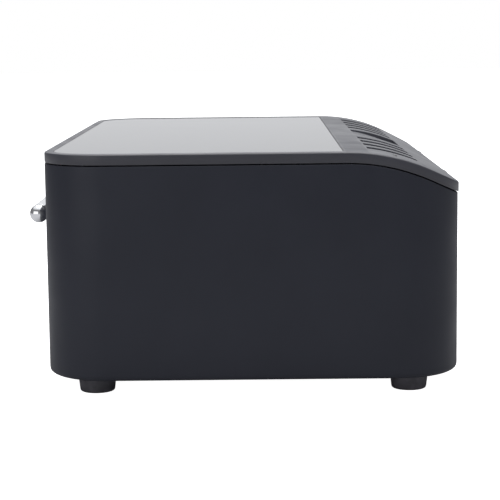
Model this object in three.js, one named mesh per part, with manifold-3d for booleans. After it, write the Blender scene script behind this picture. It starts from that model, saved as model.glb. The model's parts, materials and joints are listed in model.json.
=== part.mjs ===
// Desktop laser cutter with a lift-up lid, a drop-down front door, a belt-driven
// gantry and a fixed honeycomb bed. Units are millimetres. X is the width, -Y the
// front with the door and its handle, +Y the rear with the vents, +Z up.
// The origin is the centre of the footprint at table height.
import * as THREE from 'three';
import { mergeVertices } from 'three/addons/utils/BufferGeometryUtils.js';
import Module from 'manifold-3d';

const wasm = await Module();
wasm.setup();

// ---- driving dimensions ----
const WIDTH = 668;
const DEPTH = 420;
const CORNER_R = 64;
const WALL = 4;
const GAP = 0.3;
const FOOT_H = 15;
const FOOT = { x: 302, yFront: -158.5, yRear: 157, rTop: 19.5, rBottom: 17.5 };
const TOP_Z = 241;
const LID_H = 10.3;
const SEAM = 1.2;
const LID_SKIN = 6;
const SLOPE_START = 94;
const SLOPE_R = 195;
const SLOPE_ANGLE = THREE.MathUtils.degToRad(26.2);

const HALF_W = WIDTH / 2;
const FRONT = -DEPTH / 2;
const REAR = DEPTH / 2;
const BODY_REAR = REAR - 1;
const FLOOR_Z = FOOT_H + 3.3;

const DOOR_HALF_W = 252;
const DOOR_Z = [46, 200];
const DOOR_GAP = 0.8;
const HANDLE_Z = 163;
const HANDLE_R = 10;
const HANDLE_Y = FRONT - 25;
const HANDLE_HALF = 152;
const POST_X = 118;

const HINGE_R = 4.5;
const HINGE_OUT = 4.8;
const HINGE_PIN_R = 1.9;
const HINGE_BORE_R = 2.3;
const HINGE_X = 140;
const DOOR_HINGE_X = 170;
const LID_HINGE_Z = 194.2;
const DOOR_HINGE_Z = DOOR_Z[0];

// Grooves across the lid's slope, deeper towards the rear: the finger recess and the vents.
const GROOVE = { y0: 118, y1: 170, depth0: 1.2, depth1: 4.6 };
const RECESS_HALF_W = 46;
const VENT = { firstX: 97, pitch: 51.3, halfW: 11.5, perSide: 4 };
const VENT_HOLE = { halfW: 8, y0: 142, y1: 164 };
const LED = { x: 300, y: 143, r: 2, flangeR: 5 };

const WINDOW = { halfW: 316, y0: -201, y1: 91, rFront: 50, rRear: 3, thick: 3 };
const WINDOW_LEDGE = 14;

const BULKHEAD_Y = 108;
const RAIL_X = 284;
const RAIL_Y = [-188, 74];
const RAIL_Z = [138, 150];
const RAIL_HALF = 6;
const BELT_X = 303;
const PULLEY_R = 8;
const PULLEY_HALF = 3.5;
const BELT_T = 1.2;
const BELT_W = 6;
const SHAFT = { y: 84, z: 150, r: 4 };
const IDLER_Y = -175;
const BEAM = { y: 45, z0: 162.3, z1: 184.3, depth: 24, halfL: 296 };
const X_PULLEY = { x: 262, y: 62, z: 173 };
const HEAD_X = -190;
const OPTIC_Y = 20;
const LENS_R = 10;

const TUBE = { y: 140, z: 170, r: 25, halfL: 280, neckR: 12, neckL: 30 };
const DUCT = { x: -150, z: 80, r: 50, wall: 2, y0: 107.7, y1: 245 };
const FAN = { x: 230, z: 60, half: 40, y0: 175, y1: 200, r: 37 };
const PANEL = { x0: -68, x1: 52, z0: 34, z1: 112 };
const INLET = { x: -40, z: 58 };
const ROCKER = { x: 8, z: 58, y: 206 };
const ROCKER_TILT = THREE.MathUtils.degToRad(8);
const KEY = { x: 34, z: 92, r: 6 };
const BUTTON = { x: 200, z: 214, r: 8 };
const BED = { halfW: 262, y0: -196, y1: 60, z: 78, rim: 10, leg: 16, comb: 12 };
const CELLS = { columns: 8, rows: 4, r: 27, margin: 8 };
const MOTOR_HALF = 17.5;
const WEB = { x: 286, thick: 4, y1: 100, z1: 161 };
const STUD_R = 2.5;
const CLAMP_X = 185;
const PSU = { x0: -82, x1: 58, y0: 113, y1: 178, h: 80 };
const BOARD = { x0: 75, x1: 175, y0: 116, y1: 196, lift: 10, thick: 2 };
const CHIPS = [[85, 105, 150, 170, 9], [115, 130, 150, 165, 6], [140, 168, 125, 150, 14],
  [85, 130, 122, 136, 12], [140, 165, 165, 185, 7]];
const TANK = { x0: -290, x1: -212, y0: 114, y1: 184, h: 90, capR: 16, capH: 8 };

// ---- solid helpers ----
const SEG = 20;
const SMALL_SEG = 12;
const DUCT_SEG = 32;
const ARC_STEPS = 6;
const CORNER_STEPS = 8;

function toSolid(geometry) {
  const bare = geometry.clone();
  bare.deleteAttribute('normal');
  bare.deleteAttribute('uv');
  const merged = mergeVertices(bare, 1e-4);
  return new wasm.Manifold(new wasm.Mesh({
    numProp: 3,
    vertProperties: new Float32Array(merged.attributes.position.array),
    triVerts: new Uint32Array(merged.index.array),
  }));
}

function toGeometry(solid) {
  const mesh = solid.getMesh();
  const geometry = new THREE.BufferGeometry();
  geometry.setAttribute('position', new THREE.BufferAttribute(mesh.vertProperties, 3));
  geometry.setIndex(new THREE.BufferAttribute(mesh.triVerts, 1));
  geometry.computeVertexNormals();
  return geometry;
}

const join = (first, ...rest) => rest.reduce((sum, part) => sum.add(part), first);
const cut = (first, ...rest) => rest.reduce((sum, part) => sum.subtract(part), first);

function box(x0, x1, y0, y1, z0, z1) {
  const geometry = new THREE.BoxGeometry(x1 - x0, y1 - y0, z1 - z0);
  geometry.translate((x0 + x1) / 2, (y0 + y1) / 2, (z0 + z1) / 2);
  return toSolid(geometry);
}

// A cylinder or cone along one axis, from a to b; c holds the two other coordinates.
function rod(axis, r, a, b, c, rEnd = r, seg = SEG) {
  const geometry = new THREE.CylinderGeometry(rEnd, r, b - a, r < 6 ? SMALL_SEG : seg);
  geometry.translate(0, (a + b) / 2, 0);
  if (axis === 'x') {
    geometry.rotateZ(-Math.PI / 2);
    geometry.translate(0, c[0], c[1]);
  } else if (axis === 'y') {
    geometry.translate(c[0], 0, c[1]);
  } else {
    geometry.rotateX(Math.PI / 2);
    geometry.translate(c[0], c[1], 0);
  }
  return toSolid(geometry);
}

// A rod with a hole of radius rIn right through it.
function ring(axis, rOut, rIn, a, b, c, seg = SEG) {
  return cut(rod(axis, rOut, a, b, c, rOut, seg), rod(axis, rIn, a - 1, b + 1, c, rIn, seg));
}

function extrude(shape, depth, matrix, curveSegments = CORNER_STEPS) {
  const geometry = new THREE.ExtrudeGeometry(shape, { depth, bevelEnabled: false, curveSegments });
  geometry.applyMatrix4(matrix);
  return toSolid(geometry);
}

// A lathe solid round the Z axis from [radius, height] pairs.
function turnedUp(profile, x = 0, y = 0) {
  const points = profile.map(([r, z]) => new THREE.Vector2(r, z));
  const geometry = new THREE.LatheGeometry(points, SEG);
  geometry.rotateX(Math.PI / 2);
  geometry.translate(x, y, 0);
  return toSolid(geometry);
}

const upFrom = (z) => new THREE.Matrix4().makeTranslation(0, 0, z);
const acrossFrom = (x) => new THREE.Matrix4().makeBasis(
  new THREE.Vector3(0, 1, 0), new THREE.Vector3(0, 0, 1), new THREE.Vector3(1, 0, 0),
).setPosition(x, 0, 0);
const backFrom = (y) => new THREE.Matrix4().makeBasis(
  new THREE.Vector3(1, 0, 0), new THREE.Vector3(0, 0, 1), new THREE.Vector3(0, -1, 0),
).setPosition(0, y, 0);

// Rectangle with its own corner radius at the front and at the rear.
function plan(halfW, y0, y1, rFront, rRear = rFront) {
  const shape = new THREE.Shape();
  shape.absarc(halfW - rFront, y0 + rFront, rFront, -Math.PI / 2, 0);
  shape.absarc(halfW - rRear, y1 - rRear, rRear, 0, Math.PI / 2);
  shape.absarc(-halfW + rRear, y1 - rRear, rRear, Math.PI / 2, Math.PI);
  shape.absarc(-halfW + rFront, y0 + rFront, rFront, Math.PI, Math.PI * 1.5);
  shape.closePath();
  return shape;
}

const bodyPlan = (inset, rear = BODY_REAR) =>
  plan(HALF_W - inset, FRONT + inset, rear - inset, CORNER_R - inset);

// Height of the top surface at y: flat, then an arc, then a straight slope.
function topZ(y) {
  const along = y - SLOPE_START;
  const arcEnd = SLOPE_R * Math.sin(SLOPE_ANGLE);
  if (along <= 0) return TOP_Z;
  if (along < arcEnd) return TOP_Z - SLOPE_R + Math.sqrt(SLOPE_R ** 2 - along ** 2);
  const drop = SLOPE_R * (1 - Math.cos(SLOPE_ANGLE));
  return TOP_Z - drop - (along - arcEnd) * Math.tan(SLOPE_ANGLE);
}

// Everything under the top surface lowered by the given amount.
function underTop(lowered, arcSteps = ARC_STEPS) {
  const far = 400;
  const arcEnd = SLOPE_R * Math.sin(SLOPE_ANGLE);
  const shape = new THREE.Shape();
  shape.moveTo(-far, -10);
  shape.lineTo(far, -10);
  shape.lineTo(far, topZ(far) - lowered);
  for (let i = arcSteps; i >= 0; i--) {
    const y = SLOPE_START + (arcEnd * i) / arcSteps;
    shape.lineTo(y, topZ(y) - lowered);
  }
  shape.lineTo(-far, TOP_Z - lowered);
  shape.closePath();
  return extrude(shape, 2 * far, acrossFrom(-far));
}

// ---- materials ----
const finishes = {
  shell: [0x2b2d31, 0.55, 0],
  glass: [0x1c1e20, 0.08, 0],
  steel: [0x8d9092, 0.4, 0.8],
  dark_steel: [0x2a2b2d, 0.5, 0.3],
  aluminium: [0xa9acaf, 0.35, 0.9],
  chrome: [0xd8dadc, 0.08, 1],
  rubber: [0x161617, 0.85, 0],
  board: [0x1d4a2b, 0.5, 0],
  tube_glass: [0xc9b7c6, 0.1, 0],
  brass: [0xb08d3e, 0.3, 1],
  light: [0x9fb4c8, 0.3, 0],
  red: [0x9c1f1c, 0.4, 0],
};

const machine = new THREE.Group();

function addNode(name, finish, solid, place) {
  const [color, roughness, metalness] = finishes[finish];
  const material = new THREE.MeshStandardMaterial({ color, roughness, metalness });
  const mesh = new THREE.Mesh(toGeometry(solid), material);
  mesh.name = name;
  if (place) place(mesh);
  machine.add(mesh);
}

const sides = [['left', -1], ['right', 1]];

// ---- housing ----
function ductHole(y0, y1) {
  const r = DUCT.r + DUCT.wall + 0.5;
  return rod('y', r, y0, y1, [DUCT.x, DUCT.z], r, DUCT_SEG);
}

function lowerHousing() {
  const high = TOP_Z + 20;
  const outer = extrude(bodyPlan(0), high - FOOT_H, upFrom(FOOT_H));
  const inner = extrude(bodyPlan(WALL), high, upFrom(0));
  let solid = cut(outer, inner).intersect(underTop(LID_H + SEAM));
  solid = cut(
    solid,
    box(-DOOR_HALF_W, DOOR_HALF_W, FRONT - 5, FRONT + 10, ...DOOR_Z),
    box(PANEL.x0, PANEL.x1, REAR - 10, REAR + 5, PANEL.z0, PANEL.z1),
    ductHole(REAR - 20, REAR + 5),
    rod('y', BUTTON.r + 0.4, FRONT - 5, FRONT + 10, [BUTTON.x, BUTTON.z]),
  );
  for (let i = -3; i <= 3; i++) {
    const x = FAN.x + i * 10;
    solid = cut(solid, box(x - 2.5, x + 2.5, REAR - 10, REAR + 5, FAN.z - 34, FAN.z + 34));
  }
  return solid;
}

function foot() {
  const { rTop, rBottom } = FOOT;
  const rounding = 3;
  const profile = [[0, 0], [rBottom - rounding, 0], [rBottom - 0.3 * rounding, 0.3 * rounding],
    [rBottom, rounding], [rTop, FOOT_H - 2], [rTop, FOOT_H], [0, FOOT_H]];
  return turnedUp(profile);
}

function servicePanel() {
  const y0 = BODY_REAR - 3.5;
  const plate = box(PANEL.x0 + GAP, PANEL.x1 - GAP, y0, y0 + 3, PANEL.z0 + GAP, PANEL.z1 - GAP);
  return cut(
    plate,
    box(INLET.x - 15.3, INLET.x + 15.3, y0 - 1, y0 + 5, INLET.z - 12.8, INLET.z + 12.8),
    box(ROCKER.x - 7.5, ROCKER.x + 7.5, y0 - 1, y0 + 5, ROCKER.z - 11, ROCKER.z + 11),
    rod('y', KEY.r + 0.4, y0 - 1, y0 + 5, [KEY.x, KEY.z]),
  );
}

function powerInlet() {
  const { x, z } = INLET;
  return cut(
    join(
      box(x - 15, x + 15, BODY_REAR - 22, BODY_REAR + 0.5, z - 12.5, z + 12.5),
      box(x - 20, x + 20, BODY_REAR - 0.2, BODY_REAR + 2, z - 16, z + 16),
    ),
    box(x - 12, x + 12, BODY_REAR - 15, BODY_REAR + 5, z - 8.5, z + 8.5),
  );
}

function rocker() {
  const shape = new THREE.Shape();
  shape.moveTo(-10, -2.5);
  shape.lineTo(10, -2.5);
  shape.lineTo(10, 4);
  shape.lineTo(0, 2.4);
  shape.lineTo(-10, 4);
  shape.closePath();
  const turned = new THREE.Matrix4().makeBasis(
    new THREE.Vector3(0, 0, 1), new THREE.Vector3(0, 1, 0), new THREE.Vector3(-1, 0, 0),
  ).setPosition(7, 0, 0);
  return extrude(shape, 14, turned);
}

function keyBarrel() {
  const { x, z, r } = KEY;
  const body = join(
    rod('y', r, BODY_REAR - 14, BODY_REAR + 3, [x, z]),
    rod('y', r + 2.5, BODY_REAR, BODY_REAR + 3, [x, z]),
  );
  return cut(body, box(x - 0.8, x + 0.8, BODY_REAR - 6, BODY_REAR + 5, z - 4, z + 4));
}

function startButton() {
  const c = [BUTTON.x, BUTTON.z];
  return join(
    rod('y', BUTTON.r, FRONT - 2.5, FRONT + WALL + 1, c),
    rod('y', BUTTON.r + 2.5, FRONT + WALL + 0.5, FRONT + WALL + 3, c),
  );
}

// ---- lid ----
function windowPlan(grow) {
  const { halfW, y0, y1, rFront, rRear } = WINDOW;
  return plan(halfW + grow, y0 - grow, y1 + grow, rFront + grow, Math.max(rRear + grow, 1));
}

// A shallow wedge under the lid's surface, following its curve.
function groove(x, halfW) {
  const { y0, y1, depth0, depth1 } = GROOVE;
  const shape = new THREE.Shape();
  shape.moveTo(y0, topZ(y0) - depth0);
  for (let i = 1; i <= ARC_STEPS; i++) {
    const t = i / ARC_STEPS;
    const y = y0 + (y1 - y0) * t;
    shape.lineTo(y, topZ(y) - depth0 - (depth1 - depth0) * t);
  }
  shape.lineTo(y1, TOP_Z + 10);
  shape.lineTo(y0, TOP_Z + 10);
  shape.closePath();
  return extrude(shape, 2 * halfW, acrossFrom(x - halfW));
}

function lidCover() {
  const outer = extrude(bodyPlan(0, REAR), 140, upFrom(140));
  const inner = extrude(bodyPlan(WALL, REAR), 140, upFrom(140));
  const shell = cut(outer.intersect(underTop(0)), underTop(LID_H));
  const hollow = inner.intersect(underTop(LID_SKIN));
  const ledgeZ = TOP_Z - WINDOW.thick - 2 * GAP;
  const solid = cut(
    shell,
    hollow,
    extrude(windowPlan(GAP), 20, upFrom(ledgeZ)),
    extrude(windowPlan(-WINDOW_LEDGE), 40, upFrom(ledgeZ - 20)),
    rod('z', LED.r + 0.4, 200, 260, [LED.x, LED.y], LED.r + 0.4, SMALL_SEG),
    groove(0, RECESS_HALF_W),
  );
  const vents = [];
  for (const side of [-1, 1]) {
    for (let i = 0; i < VENT.perSide; i++) {
      const x = side * (VENT.firstX + i * VENT.pitch);
      const { halfW, y0, y1 } = VENT_HOLE;
      vents.push(groove(x, VENT.halfW), box(x - halfW, x + halfW, y0, y1, 180, 260));
    }
  }
  return cut(solid, ...vents);
}

function lidWindow() {
  return extrude(windowPlan(0), WINDOW.thick, upFrom(TOP_Z - WINDOW.thick - GAP));
}

function statusLed() {
  const { x, y, r, flangeR } = LED;
  const z = topZ(y);
  return join(
    rod('z', r, z - 9, z + 0.8, [x, y]),
    rod('z', flangeR, z - 12, z - 8.6, [x, y], flangeR, SMALL_SEG),
  );
}

// ---- hinges: a fixed leaf with two knuckles and the pin, a moving leaf with one ----
function hingeBase(x, y, z, plateY, plateZ) {
  const knuckles = [-1, 1].map((side) => {
    const [a, b] = side < 0 ? [x - 30, x - 15.4] : [x + 15.4, x + 30];
    return rod('x', HINGE_R, a, b, [y, z]);
  });
  const pin = rod('x', HINGE_PIN_R, x - 29, x + 29, [y, z]);
  const plates = [-1, 1].map((side) => {
    const [a, b] = side < 0 ? [x - 30, x - 15.4] : [x + 15.4, x + 30];
    return box(a, b, ...plateY, Math.min(plateZ[0], z), Math.max(plateZ[1], z));
  });
  const strap = box(x - 30, x + 30, ...plateY, ...plateZ);
  return join(strap, ...plates, ...knuckles, pin);
}

function hingeLeaf(x, y, z, plateY, plateZ) {
  const plate = box(x - 14.8, x + 14.8, ...plateY, Math.min(plateZ[0], z), Math.max(plateZ[1], z));
  const knuckle = rod('x', HINGE_R, x - 14.8, x + 14.8, [y, z]);
  return cut(join(plate, knuckle), rod('x', HINGE_BORE_R, x - 20, x + 20, [y, z]));
}

// ---- front door ----
function frontDoor() {
  const w = DOOR_HALF_W - DOOR_GAP;
  return box(-w, w, FRONT, FRONT + WALL, DOOR_Z[0] + DOOR_GAP, DOOR_Z[1] - DOOR_GAP);
}

function handleBar() {
  const dome = 7;
  const points = [new THREE.Vector2(0, -HANDLE_HALF)];
  const steps = 3;
  for (let i = 1; i <= steps; i++) {
    const a = (Math.PI / 2) * (i / steps);
    points.push(new THREE.Vector2(HANDLE_R * Math.sin(a), -HANDLE_HALF + dome * (1 - Math.cos(a))));
  }
  for (let i = steps; i >= 1; i--) {
    const a = (Math.PI / 2) * (i / steps);
    points.push(new THREE.Vector2(HANDLE_R * Math.sin(a), HANDLE_HALF - dome * (1 - Math.cos(a))));
  }
  points.push(new THREE.Vector2(0, HANDLE_HALF));
  const geometry = new THREE.LatheGeometry(points, SEG);
  geometry.rotateZ(-Math.PI / 2);
  geometry.translate(0, HANDLE_Y, HANDLE_Z);
  return toSolid(geometry);
}

function handlePost(x) {
  return cut(
    rod('y', 7, HANDLE_Y, FRONT - GAP, [x, HANDLE_Z], 8.5),
    rod('x', HANDLE_R + GAP, x - 20, x + 20, [HANDLE_Y, HANDLE_Z]),
  );
}

// ---- chassis interior ----
function bulkhead() {
  const plate = box(-296, 296, BULKHEAD_Y, BULKHEAD_Y + 2, FLOOR_Z + GAP, 212);
  return cut(plate, ductHole(BULKHEAD_Y - 5, BULKHEAD_Y + 5));
}

function sideRail(side) {
  const span = (inner, outer) => (side < 0 ? [-outer, -inner] : [inner, outer]);
  const web = WEB.x + WEB.thick;
  const shape = new THREE.Shape();
  shape.moveTo(RAIL_Y[0], FLOOR_Z + GAP);
  shape.lineTo(WEB.y1, FLOOR_Z + GAP);
  shape.lineTo(WEB.y1, WEB.z1);
  shape.lineTo(RAIL_Y[1] + 2, WEB.z1);
  shape.lineTo(RAIL_Y[1] + 2, RAIL_Z[0] + 2);
  shape.lineTo(RAIL_Y[0], RAIL_Z[0] + 2);
  shape.closePath();
  const plate = extrude(shape, WEB.thick, acrossFrom(span(WEB.x, web)[0]));
  const head = box(...span(RAIL_X - RAIL_HALF, RAIL_X + RAIL_HALF), ...RAIL_Y, ...RAIL_Z);
  const stud = rod('x', STUD_R, ...span(web - 2, BELT_X + 5), [IDLER_Y, SHAFT.z]);
  const ear = box(...span(WEB.x, web), RAIL_Y[0], IDLER_Y + 8, RAIL_Z[0] + 2, SHAFT.z + 8);
  const shaftHole = rod('x', SHAFT.r + 0.5, -320, 320, [SHAFT.y, SHAFT.z]);
  return cut(join(plate, head, ear, stud), shaftHole);
}

// Closed flat belt round two equal pulleys; along is 'x' or 'y', the loop stands upright.
function beltLoop(a, b, z, width, matrix) {
  const outline = (r) => {
    const shape = new THREE.Shape();
    shape.absarc(b, z, r, -Math.PI / 2, Math.PI / 2);
    shape.absarc(a, z, r, Math.PI / 2, Math.PI * 1.5);
    shape.closePath();
    return shape;
  };
  const rIn = PULLEY_R + GAP;
  const outer = outline(rIn + BELT_T);
  outer.holes.push(outline(rIn));
  return extrude(outer, width, matrix, 6);
}

function driveShaft() {
  const c = [SHAFT.y, SHAFT.z];
  const pulley = (side) => {
    const mid = side * BELT_X;
    return rod('x', PULLEY_R, mid - PULLEY_HALF, mid + PULLEY_HALF, c);
  };
  return join(rod('x', SHAFT.r, -308, 308, c), pulley(-1), pulley(1));
}

function yMotor() {
  const { y, z } = SHAFT;
  const bracketHalf = 15;
  return cut(
    join(
      box(-20, 20, y - MOTOR_HALF, y + MOTOR_HALF, z - MOTOR_HALF, z + MOTOR_HALF),
      box(-bracketHalf, bracketHalf, y + MOTOR_HALF - 1, BULKHEAD_Y - GAP,
        z - bracketHalf, z + bracketHalf),
    ),
    rod('x', SHAFT.r + 0.6, -30, 30, [y, z]),
  );
}

function bedFrame() {
  const { halfW, y0, y1, z, rim, leg } = BED;
  const frame = cut(
    box(-halfW, halfW, y0, y1, z - 8, z),
    box(-halfW + rim, halfW - rim, y0 + rim, y1 - rim, z - 20, z + 20),
  );
  const legs = [];
  for (const x of [-halfW, halfW - leg]) {
    for (const y of [y0, y1 - leg]) {
      legs.push(box(x, x + leg, y, y + leg, FLOOR_Z + GAP, z - 4));
    }
  }
  return join(frame, ...legs);
}

function honeycomb() {
  const { halfW, y0, y1, z, comb } = BED;
  const { columns, rows, r, margin } = CELLS;
  const panel = box(-halfW + 1, halfW - 1, y0 + 1, y1 - 1, z + GAP, z + GAP + comb);
  const pitchX = (2 * halfW - 2 * margin) / columns;
  const pitchY = (y1 - y0 - 2 * margin) / rows;
  const holes = [];
  for (let i = 0; i < columns; i++) {
    for (let j = 0; j < rows; j++) {
      const x = -halfW + margin + pitchX * (i + 0.5);
      const y = y0 + margin + pitchY * (j + 0.5);
      holes.push(rod('z', r, z - 5, z + 20, [x, y], r, 6));
    }
  }
  return cut(panel, ...holes);
}

function laserTube() {
  const { y, z, r, halfL, neckR, neckL } = TUBE;
  const shoulder = halfL - neckL;
  return join(
    rod('x', r, -shoulder, shoulder, [y, z]),
    rod('x', neckR, -halfL, -shoulder + 1, [y, z]),
    rod('x', neckR, shoulder - 1, halfL, [y, z]),
  );
}

function tubeClamp(x) {
  const { y, z, r } = TUBE;
  const reach = r + 7;
  return cut(
    box(x - 8, x + 8, BULKHEAD_Y + 2 + GAP, y + reach, z - reach, z + reach),
    rod('x', r + GAP, x - 20, x + 20, [y, z]),
  );
}

function firstMirrorMount() {
  const { y, z } = TUBE;
  return join(
    box(-312, -300, y - 10, y + 10, FLOOR_Z + GAP, z - 14),
    cut(box(-316, -292, y - 13, y + 13, z - 15, z + 16), rod('x', 6, -305, -280, [y, z])),
  );
}

function exhaustDuct() {
  const c = [DUCT.x, DUCT.z];
  const outer = DUCT.r + DUCT.wall;
  return cut(
    join(
      rod('y', outer, DUCT.y0, DUCT.y1, c, outer, DUCT_SEG),
      rod('y', outer + 10, BODY_REAR + GAP, BODY_REAR + 3, c, outer + 10, DUCT_SEG),
    ),
    rod('y', DUCT.r, DUCT.y0 - 1, DUCT.y1 + 1, c, DUCT.r, DUCT_SEG),
  );
}

function spokes(count, x, z, r, width, y0, y1) {
  const arms = [];
  for (let i = 0; i < count; i++) {
    const geometry = new THREE.BoxGeometry(r, y1 - y0, width);
    geometry.translate(r / 2, 0, 0);
    geometry.rotateY((i * 2 * Math.PI) / count + 0.5);
    geometry.translate(x, (y0 + y1) / 2, z);
    arms.push(toSolid(geometry));
  }
  return arms;
}

function exhaustMotor() {
  const c = [DUCT.x, DUCT.z];
  return join(
    rod('y', 16, 150, 184, c),
    rod('y', 3, 134, 151, c),
    ...spokes(3, DUCT.x, DUCT.z, DUCT.r - 0.4, 5, 176, 183),
  );
}

function impeller(x, z, y0, y1, rHub, rTip, rBore, count) {
  let solid = rod('y', rHub, y0, y1, [x, z]);
  for (let i = 0; i < count; i++) {
    const blade = new THREE.BoxGeometry(rTip - 4, 1.6, (y1 - y0) * 0.9);
    blade.rotateX(Math.PI / 4);
    blade.translate((rTip - 4) / 2 + 4, 0, 0);
    blade.rotateY((i * 2 * Math.PI) / count);
    blade.translate(x, (y0 + y1) / 2, z);
    solid = join(solid, toSolid(blade));
  }
  return cut(solid, rod('y', rBore, y0 + 4, y1 + 5, [x, z]));
}

function fanFrame() {
  const { x, z, half, y0, y1, r } = FAN;
  const frame = cut(
    box(x - half, x + half, y0, y1, z - half, z + half),
    rod('y', r + 0.5, y0 - 1, y1 + 1, [x, z], r + 0.5, 36),
  );
  return join(
    frame,
    rod('y', 13, y1 - 4, y1, [x, z]),
    rod('y', 3, y1 - 14, y1 - 3, [x, z]),
    ...spokes(4, x, z, r + 1.5, 4, y1 - 4, y1),
  );
}

function controlBoard() {
  const { x0, x1, y0, y1, lift, thick } = BOARD;
  const z = FLOOR_Z + GAP;
  const inset = 5;
  const board = box(x0, x1, y0, y1, z + lift, z + lift + thick);
  const posts = [];
  for (const x of [x0 + inset, x1 - inset]) {
    for (const y of [y0 + inset, y1 - inset]) posts.push(rod('z', 3, z, z + lift + 1, [x, y]));
  }
  const chips = CHIPS.map(([left, right, front, rear, height]) =>
    box(left, right, front, rear, z + lift + 1, z + lift + thick + height));
  return join(board, ...posts, ...chips);
}

function powerSupply() {
  const { x0, x1, y0, y1, h } = PSU;
  const z = FLOOR_Z + GAP;
  return join(
    box(x0, x1, y0, y1, z, z + h),
    box(x0 + 12, x1 - 12, y0 + 7, y1 - 8, z + h - 1, z + h + 2),
  );
}

function waterTank() {
  const { x0, x1, y0, y1, h, capR, capH } = TANK;
  const z = FLOOR_Z + GAP;
  const centre = [(x0 + x1) / 2, (y0 + y1) / 2];
  return join(box(x0, x1, y0, y1, z, z + h), rod('z', capR, z + h - 1, z + h + capH, centre));
}

// ---- gantry ----
function gantryBeam() {
  const { y, z0, z1, depth, halfL } = BEAM;
  const y0 = y - depth / 2;
  const y1 = y + depth / 2;
  const { x, z } = X_PULLEY;
  return join(
    box(-halfL, halfL, y0, y1, z0, z1),
    rod('y', STUD_R, y1 - 1, X_PULLEY.y + 5, [x, z]),
  );
}

function carriage(side) {
  const x = side * RAIL_X;
  return cut(
    box(x - 10, x + 12, BEAM.y - 20, BEAM.y + 20, RAIL_Z[0] + 1, BEAM.z0 - GAP),
    box(x - 6 - 0.4, x + 6 + 0.4, BEAM.y - 30, BEAM.y + 30, RAIL_Z[0] - 5, RAIL_Z[1] + 0.4),
  );
}

function secondMirrorMount() {
  return join(
    box(-314, -BEAM.halfL - GAP, OPTIC_Y - 8, BEAM.y + 8, BEAM.z0, 166),
    box(-314, -BEAM.halfL - GAP, OPTIC_Y - 8, OPTIC_Y + 8, 165, 188),
  );
}

function xMotor() {
  const { x, z } = X_PULLEY;
  const half = MOTOR_HALF;
  const y0 = X_PULLEY.y + 4.5;
  return cut(
    join(
      box(-x - half, -x + half, y0 + 2, y0 + 36, z - half, z + half),
      box(-x - half - 5, -x + half, y0, y0 + 2.5, z - half, z + half),
      box(-x - half - 5, -x - half + 2, BEAM.y + BEAM.depth / 2 + GAP, y0 + 1, z - 8, z + 8),
    ),
    rod('y', 3, y0 - 1, y0 + 12, [-x, z]),
  );
}

function xPulley() {
  const { x, y, z } = X_PULLEY;
  return join(
    rod('y', PULLEY_R, y - PULLEY_HALF, y + PULLEY_HALF, [-x, z]),
    rod('y', STUD_R, y, y + 14, [-x, z]),
  );
}

function idler(axis, mid, c) {
  return ring(axis, PULLEY_R, STUD_R + 0.4, mid - PULLEY_HALF, mid + PULLEY_HALF, c);
}

// ---- head ----
function headCarriage() {
  const front = BEAM.y - BEAM.depth / 2;
  return cut(
    join(
      box(HEAD_X - 24, HEAD_X + 24, front - 6, front - GAP, 144, 192),
      box(HEAD_X - 24, HEAD_X + 24, front - 6, BEAM.y + 12, BEAM.z1 + GAP, 192),
      box(HEAD_X - 16, HEAD_X + 16, OPTIC_Y - 14, front - 5, 146, 160),
    ),
    rod('z', LENS_R + 0.4, 140, 170, [HEAD_X, OPTIC_Y]),
  );
}

function thirdMirrorMount() {
  const shape = new THREE.Shape();
  shape.moveTo(HEAD_X - 13, 166);
  shape.lineTo(HEAD_X + 13, 166);
  shape.lineTo(HEAD_X + 13, 190);
  shape.lineTo(HEAD_X + 3, 190);
  shape.lineTo(HEAD_X - 13, 174);
  shape.closePath();
  const wedge = extrude(shape, 17, backFrom(26.7));
  const feet = [-1, 1].map((side) => {
    const x = HEAD_X + side * 13.5;
    return box(x - 1.5, x + 1.5, OPTIC_Y - 9, 26.7, 160.3, 168);
  });
  return join(wedge, ...feet);
}

function lensTube() {
  const top = 162;
  const shoulder = 120;
  const nozzle = 104;
  const profile = [[0, nozzle + 4], [3, nozzle], [5, nozzle], [LENS_R - 1, shoulder - 2],
    [LENS_R, shoulder], [LENS_R, top], [0, top]];
  return turnedUp(profile, HEAD_X, OPTIC_Y);
}

// ---- assembly ----
addNode('lower_housing', 'shell', lowerHousing());
addNode('base_plate', 'steel', extrude(bodyPlan(WALL + GAP), 3, upFrom(FOOT_H + GAP)));
for (const [row, y] of [['front', FOOT.yFront], ['rear', FOOT.yRear]]) {
  for (const [name, side] of sides) {
    addNode(`foot_${row}_${name}`, 'rubber', foot(), (mesh) => {
      mesh.position.set(side * FOOT.x, y, 0);
    });
  }
}
addNode('rear_bulkhead', 'steel', bulkhead());
addNode('service_panel', 'dark_steel', servicePanel());
addNode('power_inlet', 'rubber', powerInlet());
addNode('power_rocker', 'red', rocker(), (mesh) => {
  mesh.position.set(ROCKER.x, ROCKER.y, ROCKER.z);
  mesh.rotation.x = -ROCKER_TILT;
});
addNode('key_barrel', 'chrome', keyBarrel());
addNode('start_button', 'light', startButton());
addNode('exhaust_duct', 'dark_steel', exhaustDuct());
addNode('exhaust_fan_motor', 'dark_steel', exhaustMotor());
addNode('exhaust_impeller', 'shell',
  impeller(DUCT.x, DUCT.z, 128, 149, 14, DUCT.r - 3, 3.4, 7));
addNode('cooling_fan_frame', 'shell', fanFrame());
addNode('cooling_fan_rotor', 'shell',
  impeller(FAN.x, FAN.z, FAN.y0 + 1, FAN.y1 - 5, 13, FAN.r - 2, 3.4, 7));
addNode('power_supply', 'aluminium', powerSupply());
addNode('control_board', 'board', controlBoard());
addNode('water_tank', 'light', waterTank());
addNode('laser_tube', 'tube_glass', laserTube());
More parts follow.
